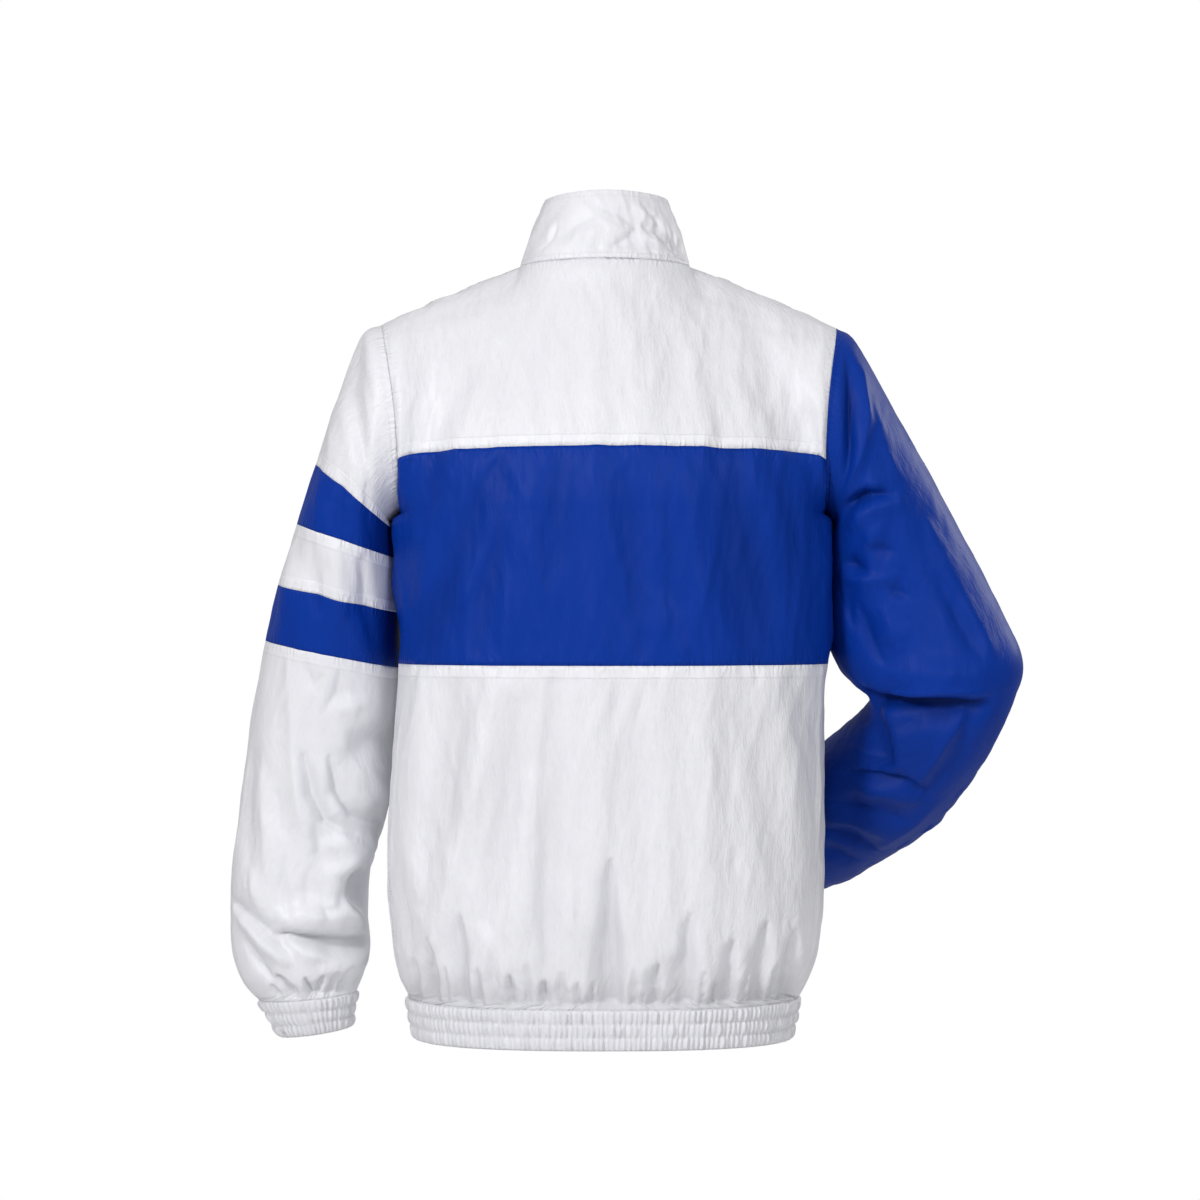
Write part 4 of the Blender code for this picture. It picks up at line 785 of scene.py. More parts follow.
def cloth(name, grid, material, replaced, closed=False, thick=CLOTH, turn=(8, 8, 8), hollow=None,
          lap=0.0):
    """A piece of cloth from rows and columns of outer points. It keeps a seam's gap to its neighbours.
    Its attributes give the distance from its first row, last row and side edges and the painted shade of
    its creases, and its UV map the flat cloth in metres."""
    grid = np.array(grid)
    rows, cols = grid.shape[:2]
    u, v = spread(grid)
    centred = u if closed else u - u.mean(1, keepdims=True)
    pull = np.zeros_like(grid)
    for edge, own, inner in (("first", np.s_[0], np.s_[1]), ("last", np.s_[-1], np.s_[-2]),
                             ("sides", np.s_[:, 0], np.s_[:, 1]), ("sides", np.s_[:, -1], np.s_[:, -2])):
        if not (closed and edge == "sides"):
            pull[own] += unit(grid[inner] - grid[own]) * (SEAM_GAP / 2 - (lap if edge == "last" else 0.0))
    hollow = np.zeros((rows, cols)) if hollow is None else np.array(hollow)
    # a sewn edge is turned in, so that two pieces meet in a soft groove
    way = unit(np.cross(np.gradient(grid, axis=1), np.gradient(grid, axis=0)))
    side = np.minimum(u, u[:, -1:] - u) if not closed else np.ones((rows, cols))
    grid = grid + pull
    for edge, own, axis, deep in (("first", 0, 0, turn[0]), ("last", -1, 0, turn[1]),
                                  ("sides", 0, 1, turn[2]), ("sides", -1, 1, turn[2])):
        if not (closed and edge == "sides"):
            pick = (own,) if axis == 0 else (slice(None), own)
            turned = grid[pick] - way[pick] * deep * 0.1 * MM
            at = 0 if own == 0 else grid.shape[axis]
            grid = np.insert(grid, at, turned, axis=axis)
            way = np.insert(way, at, way[pick], axis=axis)
            u, v, side, centred, hollow = (np.insert(a, at, a[pick], axis=axis)
                                           for a in (u, v, side, centred, hollow))
    rows, cols = grid.shape[:2]
    flat = grid.reshape(-1, 3).tolist()
    bm = bmesh.new()
    bmesh.ops.create_grid(bm, x_segments=cols - 1, y_segments=rows - 1, size=1.0)
    far = {key: bm.verts.layers.float.new(key)
           for key in ("from_first", "from_last", "from_side", "hollow")}
    flat_map = bm.loops.layers.uv.new("flat")
    first, last, side = v.ravel().tolist(), (v[-1:] - v).ravel().tolist(), side.ravel().tolist()
    hollow = hollow.ravel().tolist()
    for k, vert in enumerate(bm.verts):
        vert.co = flat[k]
        vert[far["from_first"]], vert[far["from_last"]], vert[far["from_side"]] = first[k], last[k], side[k]
        vert[far["hollow"]] = hollow[k]
    across, along = centred.ravel().tolist(), v.ravel().tolist()
    for face in bm.faces:
        for loop in face.loops:
            k = loop.vert.index
            loop[flat_map].uv = (across[k], along[k])
    if closed:
        bmesh.ops.remove_doubles(bm, verts=bm.verts, dist=1e-6)
    return piece(name, bm, material, replaced, wall=thick)


def line_in(grid, normals, edge, distance):
    """A line on a grid of cloth at a constant distance from one edge: points and normals."""
    if edge in ("left", "right"):
        grid, normals = grid.transpose(1, 0, 2), normals.transpose(1, 0, 2)
    if edge in ("last", "right"):
        grid, normals = grid[::-1], normals[::-1]
    _, v = spread(grid)
    points, ways = [], []
    for j in range(grid.shape[1]):
        points.append([np.interp(distance, v[:, j], grid[:, j, k]) for k in range(3)])
        ways.append([np.interp(distance, v[:, j], normals[:, j, k]) for k in range(3)])
    return np.array(points), unit(np.array(ways))


def stitches(name, lines, material, pitch=0.0028, length=0.0021, thick=0.00034):
    """Rows of stitches along lines on the cloth, all in one mesh: short bars with sunk ends."""
    verts, quads = [], []
    for points, ways in lines:
        run = np.concatenate([[0], np.cumsum(np.linalg.norm(np.diff(points, axis=0), axis=1))])
        count = int(run[-1] / pitch)
        for k in range(count):
            mid = (k + 0.5) * run[-1] / count
            at = [np.array([np.interp(mid + s * length / 2, run, points[:, c]) for c in range(3)])
                  for s in (-1, -0.62, 0.62, 1)]
            up = unit(np.array([np.interp(mid, run, ways[:, c]) for c in range(3)]))
            side = unit(np.cross(up, at[-1] - at[0])) * thick / 2
            first = len(verts)
            for place, sink in zip(at, (-0.0004, 0.00012, 0.00012, -0.0004)):
                base = place + up * sink
                verts += [base - side, base + up * thick * 0.6, base + side]
            quads += [[first + 3 * r + c, first + 3 * r + (c + 1) % 3, first + 3 * r + 3 + (c + 1) % 3,
                       first + 3 * r + 3 + c] for r in range(3) for c in range(3)]
            quads += [[first + 2, first + 1, first], [first + 9, first + 10, first + 11]]
    mesh = bpy.data.meshes.new(name)
    mesh.from_pydata([tuple(v) for v in verts], [], quads)
    bm = bmesh.new()
    bm.from_mesh(mesh)
    bpy.data.meshes.remove(mesh)
    bmesh.ops.recalc_face_normals(bm, faces=bm.faces)
    return piece(name, bm, material)


def elastic(name, top, bottom, outward, ribs, closed, material, replaced, rib, puff, seed):
    """Gathered elastic band: three puffed channels between rows of stitches.
    top, bottom, outward: functions of the share round the band. Returns the piece and its grid of points,
    whose rows hold the stitch lines."""
    rng = np.random.default_rng(seed)
    channel = CHANNEL_ROWS
    heights = np.linspace(0, 1, 3 * channel + 1)
    share = np.linspace(0, 1, 4 * ribs + 1)
    t, b, o = top(share), bottom(share), outward(share)
    size = rng.uniform(0.45, 1.25, (4, ribs))
    drift = rng.uniform(-0.28, 0.28, (4, ribs))
    loop = np.arange(ribs + 1) if closed else np.arange(ribs)
    rows, rib_shade = [], []
    for i, h in enumerate(heights):
        at, inside = min(i // channel, 2), (i - channel * min(i // channel, 2)) / channel
        swell = math.sin(math.pi * inside) ** 0.6
        near = share * ribs + np.interp(share * ribs, loop, drift[at][loop % ribs]) * swell
        bulge = np.sin(math.pi * near) ** 2
        tall = np.interp(share * ribs, loop + 0.5, size[at][loop % ribs])
        soft = puff * swell * (0.85 + 0.3 * np.interp(share * ribs, loop, size[3][loop % ribs]))
        height = soft + rib * bulge * tall * (0.45 + 0.55 * swell if i else 0.1)
        rows.append(t + (b - t) * h + o * height[:, None])
        # painted shade between the ribs and along the rows of stitches
        rib_shade.append(((1 - bulge) ** 1.3 * 8.0 + (1 - swell) * 1.5) * (1.0 if i else 0.1))
    grid, rib_shade = np.array(rows)[::-1], np.array(rib_shade)[::-1]
    if closed:
        grid[:, -1] = grid[:, 0]
    obj = cloth(name, grid, material, replaced, closed=closed, thick=0.0012, hollow=rib_shade, lap=0.0004)
    return obj, grid


# ---------------------------------------------------------------- materials

def group(name, inputs, outputs):
    tree = bpy.data.node_groups.new(name, "ShaderNodeTree")
    for kind, names in (("INPUT", inputs), ("OUTPUT", outputs)):
        for label, socket in names:
            tree.interface.new_socket(name=label, in_out=kind, socket_type=socket)
    return tree, tree.nodes.new("NodeGroupInput"), tree.nodes.new("NodeGroupOutput")


def add(tree, kind, links=(), **settings):
    """A shader node with settings on itself or its inputs, and links into its inputs."""
    node = tree.nodes.new(kind)
    for key, value in settings.items():
        if hasattr(node, key):
            setattr(node, key, value)
    for key, value in links:
        if isinstance(value, bpy.types.NodeSocket):
            tree.links.new(value, node.inputs[key])
        else:
            node.inputs[key].default_value = value
    return node


def math_node(tree, operation, a, b=0.5, clamp=False):
    node = add(tree, "ShaderNodeMath", [(0, a), (1, b)], operation=operation)
    node.use_clamp = clamp
    return node.outputs[0]


def scaled_noise(tree, place, scale, detail=3.0, rough=0.55):
    """Noise over the flat cloth, stretched by its scale (per metre) across and along."""
    stretch = add(tree, "ShaderNodeVectorMath", [(0, place), (1, scale)], operation="MULTIPLY")
    noise = add(tree, "ShaderNodeTexNoise", [("Vector", stretch.outputs[0]), ("Scale", 1.0),
                                             ("Detail", detail), ("Roughness", rough)])
    return noise.outputs["Fac"]


def ridged(tree, value):
    """Turns noise into thin raised ridges."""
    off = math_node(tree, "ABSOLUTE", math_node(tree, "SUBTRACT", value, 0.5))
    return math_node(tree, "SUBTRACT", 1.0, math_node(tree, "MULTIPLY", off, 4.0), clamp=True)


def near_edge(tree, distance, width):
    """One at an edge of the cloth, falling to nought at a distance in metres."""
    ramp = add(tree, "ShaderNodeMapRange", [("Value", distance), ("From Min", 0.0), ("From Max", width),
                                            ("To Min", 1.0), ("To Max", 0.0)])
    ramp.interpolation_type = "SMOOTHSTEP"
    return ramp.outputs[0]


PUCKER_PITCH, PUCKER_REACH, PUCKER_DEPTH = 0.0068, 0.013, 0.0006     # folds square to a seam, m
ALLOWANCE, ALLOWANCE_RISE = (0.0100, 0.0114), 0.00035                # strip behind a seam, m


def crisp_cloth():
    """Fine crinkles, puckers along the seams and the weave of thin crisp cloth."""
    tree, start, end = group(
        "crisp_cloth",
        [("Place", "NodeSocketVector"), ("From first edge", "NodeSocketFloat"),
         ("From last edge", "NodeSocketFloat"), ("From side edge", "NodeSocketFloat"),
         ("Crinkle", "NodeSocketFloat"), ("Pucker", "NodeSocketFloat"),
         ("Allowance at first", "NodeSocketFloat"), ("Allowance at last", "NodeSocketFloat")],
        [("Normal", "NodeSocketVector"), ("Crease", "NodeSocketFloat"), ("Doubled", "NodeSocketFloat")])
    place = start.outputs["Place"]
    broad = ridged(tree, scaled_noise(tree, place, (85.0, 24.0, 1.0), 3.0))
    fine = ridged(tree, scaled_noise(tree, place, (210.0, 62.0, 1.0), 3.0, 0.6))
    tiny = scaled_noise(tree, place, (560.0, 230.0, 1.0), 3.0, 0.6)
    weave = scaled_noise(tree, place, (3200.0, 2200.0, 1.0), 1.0)
    height = math_node(tree, "MULTIPLY", broad, 0.00042)
    height = math_node(tree, "ADD", height, math_node(tree, "MULTIPLY", fine, 0.00017))
    height = math_node(tree, "ADD", height, math_node(tree, "MULTIPLY", tiny, 0.00010))
    height = math_node(tree, "MULTIPLY", height, start.outputs["Crinkle"])
    height = math_node(tree, "ADD", height, math_node(tree, "MULTIPLY", weave, 0.000012))
    # puckers stand square to each sewn edge and die away from it
    lines = add(tree, "ShaderNodeSeparateXYZ", [(0, place)])
    total = height
    for distance, run in (("From first edge", lines.outputs[0]), ("From last edge", lines.outputs[0]),
                          ("From side edge", lines.outputs[1])):
        wander = add(tree, "ShaderNodeCombineXYZ", [(0, run), (1, start.outputs[distance])])
        drift = scaled_noise(tree, wander.outputs[0], (55.0, 30.0, 1.0), 2.0)
        turn = math_node(tree, "ADD", math_node(tree, "MULTIPLY", run, 3.1416 / PUCKER_PITCH),
                         math_node(tree, "MULTIPLY", drift, 14.0))
        wave = math_node(tree, "POWER", math_node(tree, "ABSOLUTE", math_node(tree, "SINE", turn)), 1.6)
        some = math_node(tree, "MULTIPLY",
                         scaled_noise(tree, wander.outputs[0], (28.0, 1.0, 1.0), 1.0), 1.6)
        wave = math_node(tree, "MULTIPLY", wave, some)
        wave = math_node(tree, "MULTIPLY", wave, near_edge(tree, start.outputs[distance], PUCKER_REACH))
        wave = math_node(tree, "MULTIPLY", wave, start.outputs["Pucker"])
        total = math_node(tree, "ADD", total, math_node(tree, "MULTIPLY", wave, -PUCKER_DEPTH))
    # the turned-in allowance behind the cloth shows as a slightly raised strip along its edge
    strip = 0.0
    for distance, amount in (("From first edge", "Allowance at first"),
                             ("From last edge", "Allowance at last")):
        step = add(tree, "ShaderNodeMapRange", [("Value", start.outputs[distance]),
                                                ("From Min", ALLOWANCE[0]), ("From Max", ALLOWANCE[1]),
                                                ("To Min", 1.0), ("To Max", 0.0)])
        raised = math_node(tree, "MULTIPLY", step.outputs[0], start.outputs[amount])
        strip = math_node(tree, "ADD", strip, raised)
    total = math_node(tree, "ADD", total, math_node(tree, "MULTIPLY", strip, ALLOWANCE_RISE))
    bump = add(tree, "ShaderNodeBump", [("Height", total), ("Distance", 1.0), ("Strength", 1.0)])
    tree.links.new(bump.outputs[0], end.inputs["Normal"])
    # the crinkles' height, for the painted shade of their low parts
    tree.links.new(math_node(tree, "ADD", math_node(tree, "MULTIPLY", broad, 0.5),
                             math_node(tree, "MULTIPLY", fine, 0.5)), end.inputs["Crease"])
    tree.links.new(strip, end.inputs["Doubled"])
    return tree


CRISP = crisp_cloth()


def cloth_look(name, colour, slot, crinkle=1.0, pucker=1.0, allowance=(0.0, 0.0), rough=0.45,
               gloss=0.4, depth=0.30):
    """Woven cloth in one colour. The seam's allowance makes it a shade lighter. Painted shade darkens the
    low parts of the crinkles and, up to depth, the valleys of the creases.
    """
    material = bpy.data.materials.new(name)
    material.use_nodes = True
    material["slot"] = slot
    tree = material.node_tree
    shader = tree.nodes["Principled BSDF"]
    flat = add(tree, "ShaderNodeUVMap", uv_map="flat")
    far = {key: add(tree, "ShaderNodeAttribute", attribute_name=key) for key in
           ("from_first", "from_last", "from_side")}
    made = tree.nodes.new("ShaderNodeGroup")
    made.node_tree = CRISP
    tree.links.new(flat.outputs[0], made.inputs["Place"])
    for key, label in (("from_first", "From first edge"), ("from_last", "From last edge"),
                       ("from_side", "From side edge")):
        tree.links.new(far[key].outputs["Fac"], made.inputs[label])
    made.inputs["Crinkle"].default_value = crinkle
    made.inputs["Pucker"].default_value = pucker
    made.inputs["Allowance at first"].default_value = allowance[0]
    made.inputs["Allowance at last"].default_value = allowance[1]
    lighter = [min(1.0, c * 1.025) for c in colour[:3]] + [1.0]
    deep = [c * 0.93 for c in colour[:3]] + [1.0]
    # painted shade: the low parts of the crinkles are a shade darker
    crease = add(tree, "ShaderNodeMix", [(0, made.outputs["Crease"]), (6, tuple(deep)), (7, colour)],
                 data_type="RGBA")
    # painted shade: the crease attribute mixes the colour towards a darker copy of it
    painted_shade_node = add(tree, "ShaderNodeAttribute", attribute_name="hollow")
    shade = add(tree, "ShaderNodeMapRange", [("Value", painted_shade_node.outputs["Fac"]), ("From Min", 0.5),
                                             ("From Max", DEEPEST), ("To Min", 0.0), ("To Max", depth)])
    painted_shade_colour = tuple(c * 0.45 for c in colour[:3]) + (1.0,)
    shaded = add(tree, "ShaderNodeMix", [(0, shade.outputs[0]), (6, crease.outputs[2]), (7, painted_shade_colour)],
                 data_type="RGBA")
    doubled = add(tree, "ShaderNodeMix", [(0, made.outputs["Doubled"]), (6, shaded.outputs[2]),
                                          (7, tuple(lighter))], data_type="RGBA")
    tree.links.new(doubled.outputs[2], shader.inputs["Base Color"])
    tree.links.new(made.outputs["Normal"], shader.inputs["Normal"])
    shader.inputs["Roughness"].default_value = rough
    shader.inputs["Specular IOR Level"].default_value = gloss
    return material


def plain_look(name, colour, slot, rough, metallic=0.0, grain=0.0, grain_size=900.0):
    """Moulded, woven or cast finish with a fine grain on Object coordinates."""
    material = bpy.data.materials.new(name)
    material.use_nodes = True
    material["slot"] = slot
    tree = material.node_tree
    shader = tree.nodes["Principled BSDF"]
    place = add(tree, "ShaderNodeTexCoord")
    noise = add(tree, "ShaderNodeTexNoise", [("Vector", place.outputs["Object"]), ("Scale", grain_size),
                                             ("Detail", 2.0)])
    amount = math_node(tree, "MULTIPLY", noise.outputs["Fac"], grain)
    bump = add(tree, "ShaderNodeBump", [("Height", amount), ("Distance", 1.0), ("Strength", 1.0)])
    worn = tuple(c * 0.92 for c in colour[:3]) + (1.0,)
    wear = add(tree, "ShaderNodeMix", [(0, noise.outputs["Fac"]), (6, worn), (7, colour)],
               data_type="RGBA")
    tree.links.new(wear.outputs[2], shader.inputs["Base Color"])
    tree.links.new(bump.outputs[0], shader.inputs["Normal"])
    shader.inputs["Roughness"].default_value = rough
    shader.inputs["Metallic"].default_value = metallic
    return material


WHITE, BLUE = (0.79, 0.79, 0.83, 1.0), (0.0015, 0.034, 0.305, 1.0)
LOOKS = {
    "white": cloth_look("white_cloth", WHITE, "white_cloth"),
    "white_first": cloth_look("white_cloth_seam_below", WHITE, "white_cloth", allowance=(1.0, 0.0)),
    "white_last": cloth_look("white_cloth_seam_above", WHITE, "white_cloth", allowance=(0.0, 1.0)),
    "white_both": cloth_look("white_cloth_between", WHITE, "white_cloth", crinkle=0.6, allowance=(1.0, 1.0)),
    "white_sleeve": cloth_look("white_cloth_sleeve", WHITE, "white_cloth", crinkle=0.6, allowance=(1.0, 0.0)),
    "white_collar": cloth_look("white_cloth_collar", WHITE, "white_cloth", crinkle=0.35, pucker=0.7),
    "white_band": cloth_look("white_elastic", WHITE, "white_cloth", crinkle=0.4, pucker=0.0),
    "blue": cloth_look("blue_cloth", BLUE, "blue_cloth", crinkle=0.6, rough=0.5, gloss=0.10,
                       depth=0.8),
    "blue_band": cloth_look("blue_elastic", BLUE, "blue_cloth", crinkle=0.4, pucker=0.0, rough=0.5,
                            gloss=0.10, depth=0.8),
    "white_thread": plain_look("white_thread", (0.82, 0.82, 0.85, 1.0), "white_cloth", 0.6, grain=0.0001),
    "blue_thread": plain_look("blue_thread", (0.012, 0.045, 0.34, 1.0), "blue_cloth", 0.55, grain=0.0001),
    "tape": plain_look("zip_tape_weave", (0.78, 0.78, 0.81, 1.0), "zip_tape", 0.8, grain=0.0004,
                       grain_size=1500.0),
    "teeth": plain_look("zip_teeth_moulded", (0.76, 0.76, 0.79, 1.0), "zip_teeth", 0.35, grain=0.00002),
    "metal": plain_look("zip_metal_cast", (0.70, 0.70, 0.72, 1.0), "zip_metal", 0.28, metallic=1.0,
                        grain=0.00002),
}


# ---------------------------------------------------------------- the coat

shell, sleeves, armholes = build_shell()
crease(shell, sleeves, armholes)
normals = shell.normals()
BLUE_PANELS = ("band", "stripe_upper", "stripe_lower")
# how far the edges turn in, tenths of mm: first row, last row, sides
TURNS = {"upper": (8, 3, 4), "sleeve_left_stripe_upper": (8, 8, 8),
         "sleeve_left_cap": (4, 8, 8), "sleeve_right": (4, 8, 8)}
EDGED = {"sleeve_left_cap": "_last", "sleeve_left_middle": "_both", "sleeve_left_lower": "_sleeve"}
for side in ("back", "front_left", "front_right"):
    EDGED[side + "_upper"], EDGED[side + "_lower"] = "_first", "_last"
for name, ids in shell.panels.items():
    colour = "blue" if name.endswith(BLUE_PANELS) or name.startswith("sleeve_right") else "white"
    look = LOOKS[colour + EDGED.get(name, "")]
    grid = shell.points[ids]
    stands_for = [name]
    if name == "sleeve_right":
        stands_for = ["sleeve_right_cap", "sleeve_right_upper", "sleeve_right_elbow", "sleeve_right_forearm"]
    turn = TURNS.get(name, TURNS.get(name.rsplit("_", 1)[-1], (8, 8, 8)))
    cloth("cloth_" + name, grid, look, stands_for, closed=name.startswith("sleeve"), turn=turn,
                       hollow=shell.hollow[ids])


def collar_points(rows=36):
    """Collar from the neck seam up to a rolled top edge, left zip edge round the back to the right one."""
    angles = {}
    for key, size in (("low", NECK_SEAM), ("high", COLLAR_TOP)):
        parts = [neck_angles(size, s, 2 * (BACK_NECK_COLS if s == "back" else FRONT_NECK_COLS))
                 for s in ("left", "back", "right")]
        angles[key] = np.concatenate([parts[0], parts[1][1:], parts[2][1:]])
    low, high = neck_loop(NECK_SEAM, angles["low"]), neck_loop(COLLAR_TOP, angles["high"])
    grid = []
    for i in range(rows + 1):
        h = i / rows
        line = low + (high - low) * h
        radial = unit((line - line.mean(0)) * np.array([1, 1, 0]))
        grid.append(line + radial * 0.0015 * 4 * h * (1 - h))
    return np.array(grid)


def make_collar():
    piece_of = Shell()
    ids = piece_of.add(collar_points())
    piece_of.panel("collar", ids)
    ways = piece_of.normals()
    shift = np.zeros(len(piece_of.points))
    every = np.arange(len(piece_of.points))
    for folds, facing in ((COLLAR_BACK, 1), (COLLAR_FRONT, -1)):
        _, height = press(piece_of, ways, every, folds, facing, 1.2)
        shift += height
    x, y, z = piece_of.points.T / MM
    shift += MM * 0.4 * crinkles(x + y, z, 21, across=16.0, along=40.0)
    shift = shift.reshape(ids.shape)
    up = np.linspace(0, 1, len(ids))[:, None]
    shift *= smoothstep(0.0, 0.14, up) * (0.45 + 0.55 * smoothstep(0.0, 0.2, 1 - up))
    ends = np.minimum(np.arange(ids.shape[1]), np.arange(ids.shape[1])[::-1])
    shift *= smoothstep(0, 18, ends)[None]
    grid = piece_of.points[ids] + ways[ids] * shift[..., None]
    # the top edge is folded over to the inside
    top, way = grid[-1], ways[ids[-1]]
    inward = unit(way * np.array([1, 1, 0]))
    roll = [top - inward * a * MM + np.array([0, 0, b]) * MM
            for a, b in ((0.25, 0.35), (0.8, 0.5), (1.4, 0.3))]
    grid = np.concatenate([grid, np.array(roll)])
    # painted shade in the valleys of the collar's creases
    hollow = np.concatenate([-shift / MM, np.zeros((3, shift.shape[1]))])
    return cloth("cloth_collar", grid, LOOKS["white_collar"], ["collar"], turn=(2, 8, 8), hollow=hollow), grid


COLLAR_BACK = (
    (5, -2.6, 0.4, (0, 43), (-16, 38), (-27, 27), (-16, 18), (-5, 11)),
    (5, 2.0, 0.0, (8, 36), (-4, 30), (-12, 24)),
    (4, -2.2, 0.4, (-5, 11), (-30, 12), (-44, 7)),
    (3.4, 2.8, 0.0, (-31, 26), (-38, 19), (-46, 12), (-57, 4)),
    (4.5, -3.6, 0.4, (-34, 30), (-46, 24), (-56, 14), (-64, 8)),
    (3.4, 2.2, 0.0, (-30, 46), (-36, 40), (-42, 33)),
    (3.4, 2.2, 0.0, (-41, 46), (-47, 38), (-53, 27), (-62, 18)),
    (4, -2.4, 0.3, (-36, 46), (-43, 38), (-49, 30)),
    (4, -3.0, 0.3, (-58, 22), (-65, 10), (-70, 2)),
    (4, -2.6, 0.4, (78, -2), (61, 9), (51, 19), (46, 30)),
    (5, 2.0, 0.0, (70, 2), (56, 16), (50, 32)),
    (7, -1.8, 0.2, (47, 17), (27, 31), (12, 38)),
    (7, 1.6, 0.0, (38, 12), (24, 22), (8, 26)),
    (6, -1.4, 0.2, (62, 24), (52, 40), (40, 50)),
    (6, 1.4, 0.0, (-12, 50), (-26, 52)),
    (6, -1.4, 0.0, (22, 6), (10, 10), (2, 8)),
)
COLLAR_FRONT = (
    (7, -2.6, 0.3, (20, -28), (30, 0), (34, 36)),
    (6, 2.0, 0.0, (34, -26), (46, 4), (46, 34)),
    (7, -2.6, 0.3, (-18, -26), (-30, 4), (-28, 38)),
    (6, 2.0, 0.0, (-40, -20), (-50, 8), (-44, 36)),
)
collar, collar_grid = make_collar()


def hem_loop(z, grow, share):
    parts = [section(z, s, np.linspace(0, 1, 400)) for s in ("left", "back", "right")]
    line = np.concatenate([parts[0], parts[1][1:], parts[2][1:]])
    mid = np.array([0.0035, 0, 0])
    line = (line - mid) * np.array([grow, grow, 1.0]) + mid
    line[0, 0], line[-1, 0] = ZIP_EDGE + SEAM_GAP / 2, -ZIP_EDGE - SEAM_GAP / 2
    length = np.concatenate([[0], np.cumsum(np.linalg.norm(np.diff(line, axis=0), axis=1))])
    return np.stack([np.interp(share * length[-1], length, line[:, k]) for k in range(3)], 1)


def hem_bottom(share):
    line = hem_loop(HEM_SEAM_Z, 0.965, share)
    line[:, 2] = HEM_BOTTOM_Z
    return line


def hem_outward(share):
    way = np.gradient(hem_loop(HEM_SEAM_Z, 1.0, share), axis=0)
    way = np.stack([way[:, 1], -way[:, 0], 0 * way[:, 0]], 1)
    way[0], way[-1] = (0, -1, 0), (0, -1, 0)
    return unit(way)


hem, hem_grid = elastic("hem_gathered", lambda s: hem_loop(HEM_SEAM_Z, 1.0, s), hem_bottom, hem_outward,
                        HEM_RIBS, False, LOOKS["white_band"], ["hem_band"], rib=0.0036, puff=0.0004, seed=5)


def cuff(name, table, end, look, replaced, seed):
    centre, half, depth, _ = arm_rings(table)
    c0, a0, d0 = centre[-1], half[-1], depth[-1]
    ox, oz, ix, iz, y, deep = np.array(end, float) * MM
    c1, a1 = np.array([(ox + ix) / 2, y, (oz + iz) / 2]), np.array([(ox - ix) / 2, 0, (oz - iz) / 2])
    along = unit(c1 - c0)
    plane = unit(np.cross(a0, d0))
    plane *= np.sign(plane @ along)
    d1 = unit(np.cross(a1, along)) * deep
    d1 *= np.sign(d1 @ d0)
    spin = 1.0 if np.cross(a0, d0) @ along < 0 else -1.0

    def ring(c, a, d, share):
        turn = (math.pi + spin * 2 * math.pi * share)[:, None]
        return c + np.cos(turn) * a + np.sin(turn) * d

    def outward(share):
        turn = (math.pi + spin * 2 * math.pi * share)[:, None]
        return unit(np.cos(turn) * a0 / (a0 @ a0) + np.sin(turn) * d0 / (d0 @ d0))
    return elastic(name, lambda s: ring(c0, a0, d0, s) + plane * SEAM_GAP / 2, lambda s: ring(c1, a1, d1, s),
                   outward, CUFF_RIBS, True, look, replaced, rib=0.0032, puff=0.0004, seed=seed)


cuff_left, cuff_left_grid = cuff("cuff_gathered_left", LEFT_ARM, LEFT_CUFF_END, LOOKS["white_band"],
                                 ["cuff_left"], 7)
cuff_right, cuff_right_grid = cuff("cuff_gathered_right", RIGHT_ARM, RIGHT_CUFF_END, LOOKS["blue_band"],
                                   ["cuff_right"], 8)


# ---------------------------------------------------------------- zip

def chain_line():
    """Front face of the closed zip chain from its bottom end up, from the zip_chain solid."""
    mesh = bpy.data.objects["zip_chain"].data
    front = {tuple(round(c, 6) for c in mesh.vertices[i].co) for face in mesh.polygons
             if face.normal.y < -0.5 for i in face.vertices}
    line = np.array(sorted({(p[2], p[1]) for p in front if p[0] > 0}))
    return np.stack([np.zeros(len(line)), line[:, 1], line[:, 0]], 1)


def tooth_mesh():
    """One moulded tooth across the tape, reaching from its foot past the middle: corners and faces, mm."""
    bm = bmesh.new()
    bmesh.ops.create_cube(bm, size=1.0)
    bmesh.ops.scale(bm, vec=(3.4, 2.2, 1.55), verts=bm.verts)
    for vert in bm.verts:
        if vert.co.x < 0:
            vert.co.z *= 0.72
    bmesh.ops.bevel(bm, geom=bm.edges[:], offset=0.28, segments=1, profile=0.5, affect="EDGES", material=-1)
    bm.verts.index_update()
    verts = np.array([v.co[:] for v in bm.verts])
    faces = [[v.index for v in f.verts] for f in bm.faces]
    bm.free()
    return verts, faces


def make_teeth():
    line = chain_line()
    run = np.concatenate([[0], np.cumsum(np.linalg.norm(np.diff(line, axis=0), axis=1))])
    shape, shape_faces = tooth_mesh()
    verts, faces = [], []
    count = int(run[-1] / TOOTH_PITCH)
    way_at = unit(np.gradient(line, axis=0))
    for k in range(count):
        mid = (k + 0.5) * run[-1] / count
        place = np.array([np.interp(mid, run, line[:, c]) for c in range(3)])
        up = unit(np.array([np.interp(mid, run, way_at[:, c]) for c in range(3)]))
        out = np.cross(up, (1.0, 0, 0))
        out *= np.sign(-out[1])
        side = 1 if k % 2 else -1
        local = shape * MM
        x = side * (0.0013 + local[:, :1])
        base = len(verts)
        world = place + x * np.array([1.0, 0, 0]) + out * (local[:, 1:2] - 0.0009) + up * local[:, 2:3]
        verts += world.tolist()
        faces += [[base + i for i in (f if side > 0 else f[::-1])] for f in shape_faces]
    mesh = bpy.data.meshes.new("zip_teeth")
    mesh.from_pydata(verts, [], faces)
    bm = bmesh.new()
    bm.from_mesh(mesh)
    bpy.data.meshes.remove(mesh)
    bmesh.ops.recalc_face_normals(bm, faces=bm.faces)
    return piece("zip_teeth_row", bm, LOOKS["teeth"], ["zip_chain"])


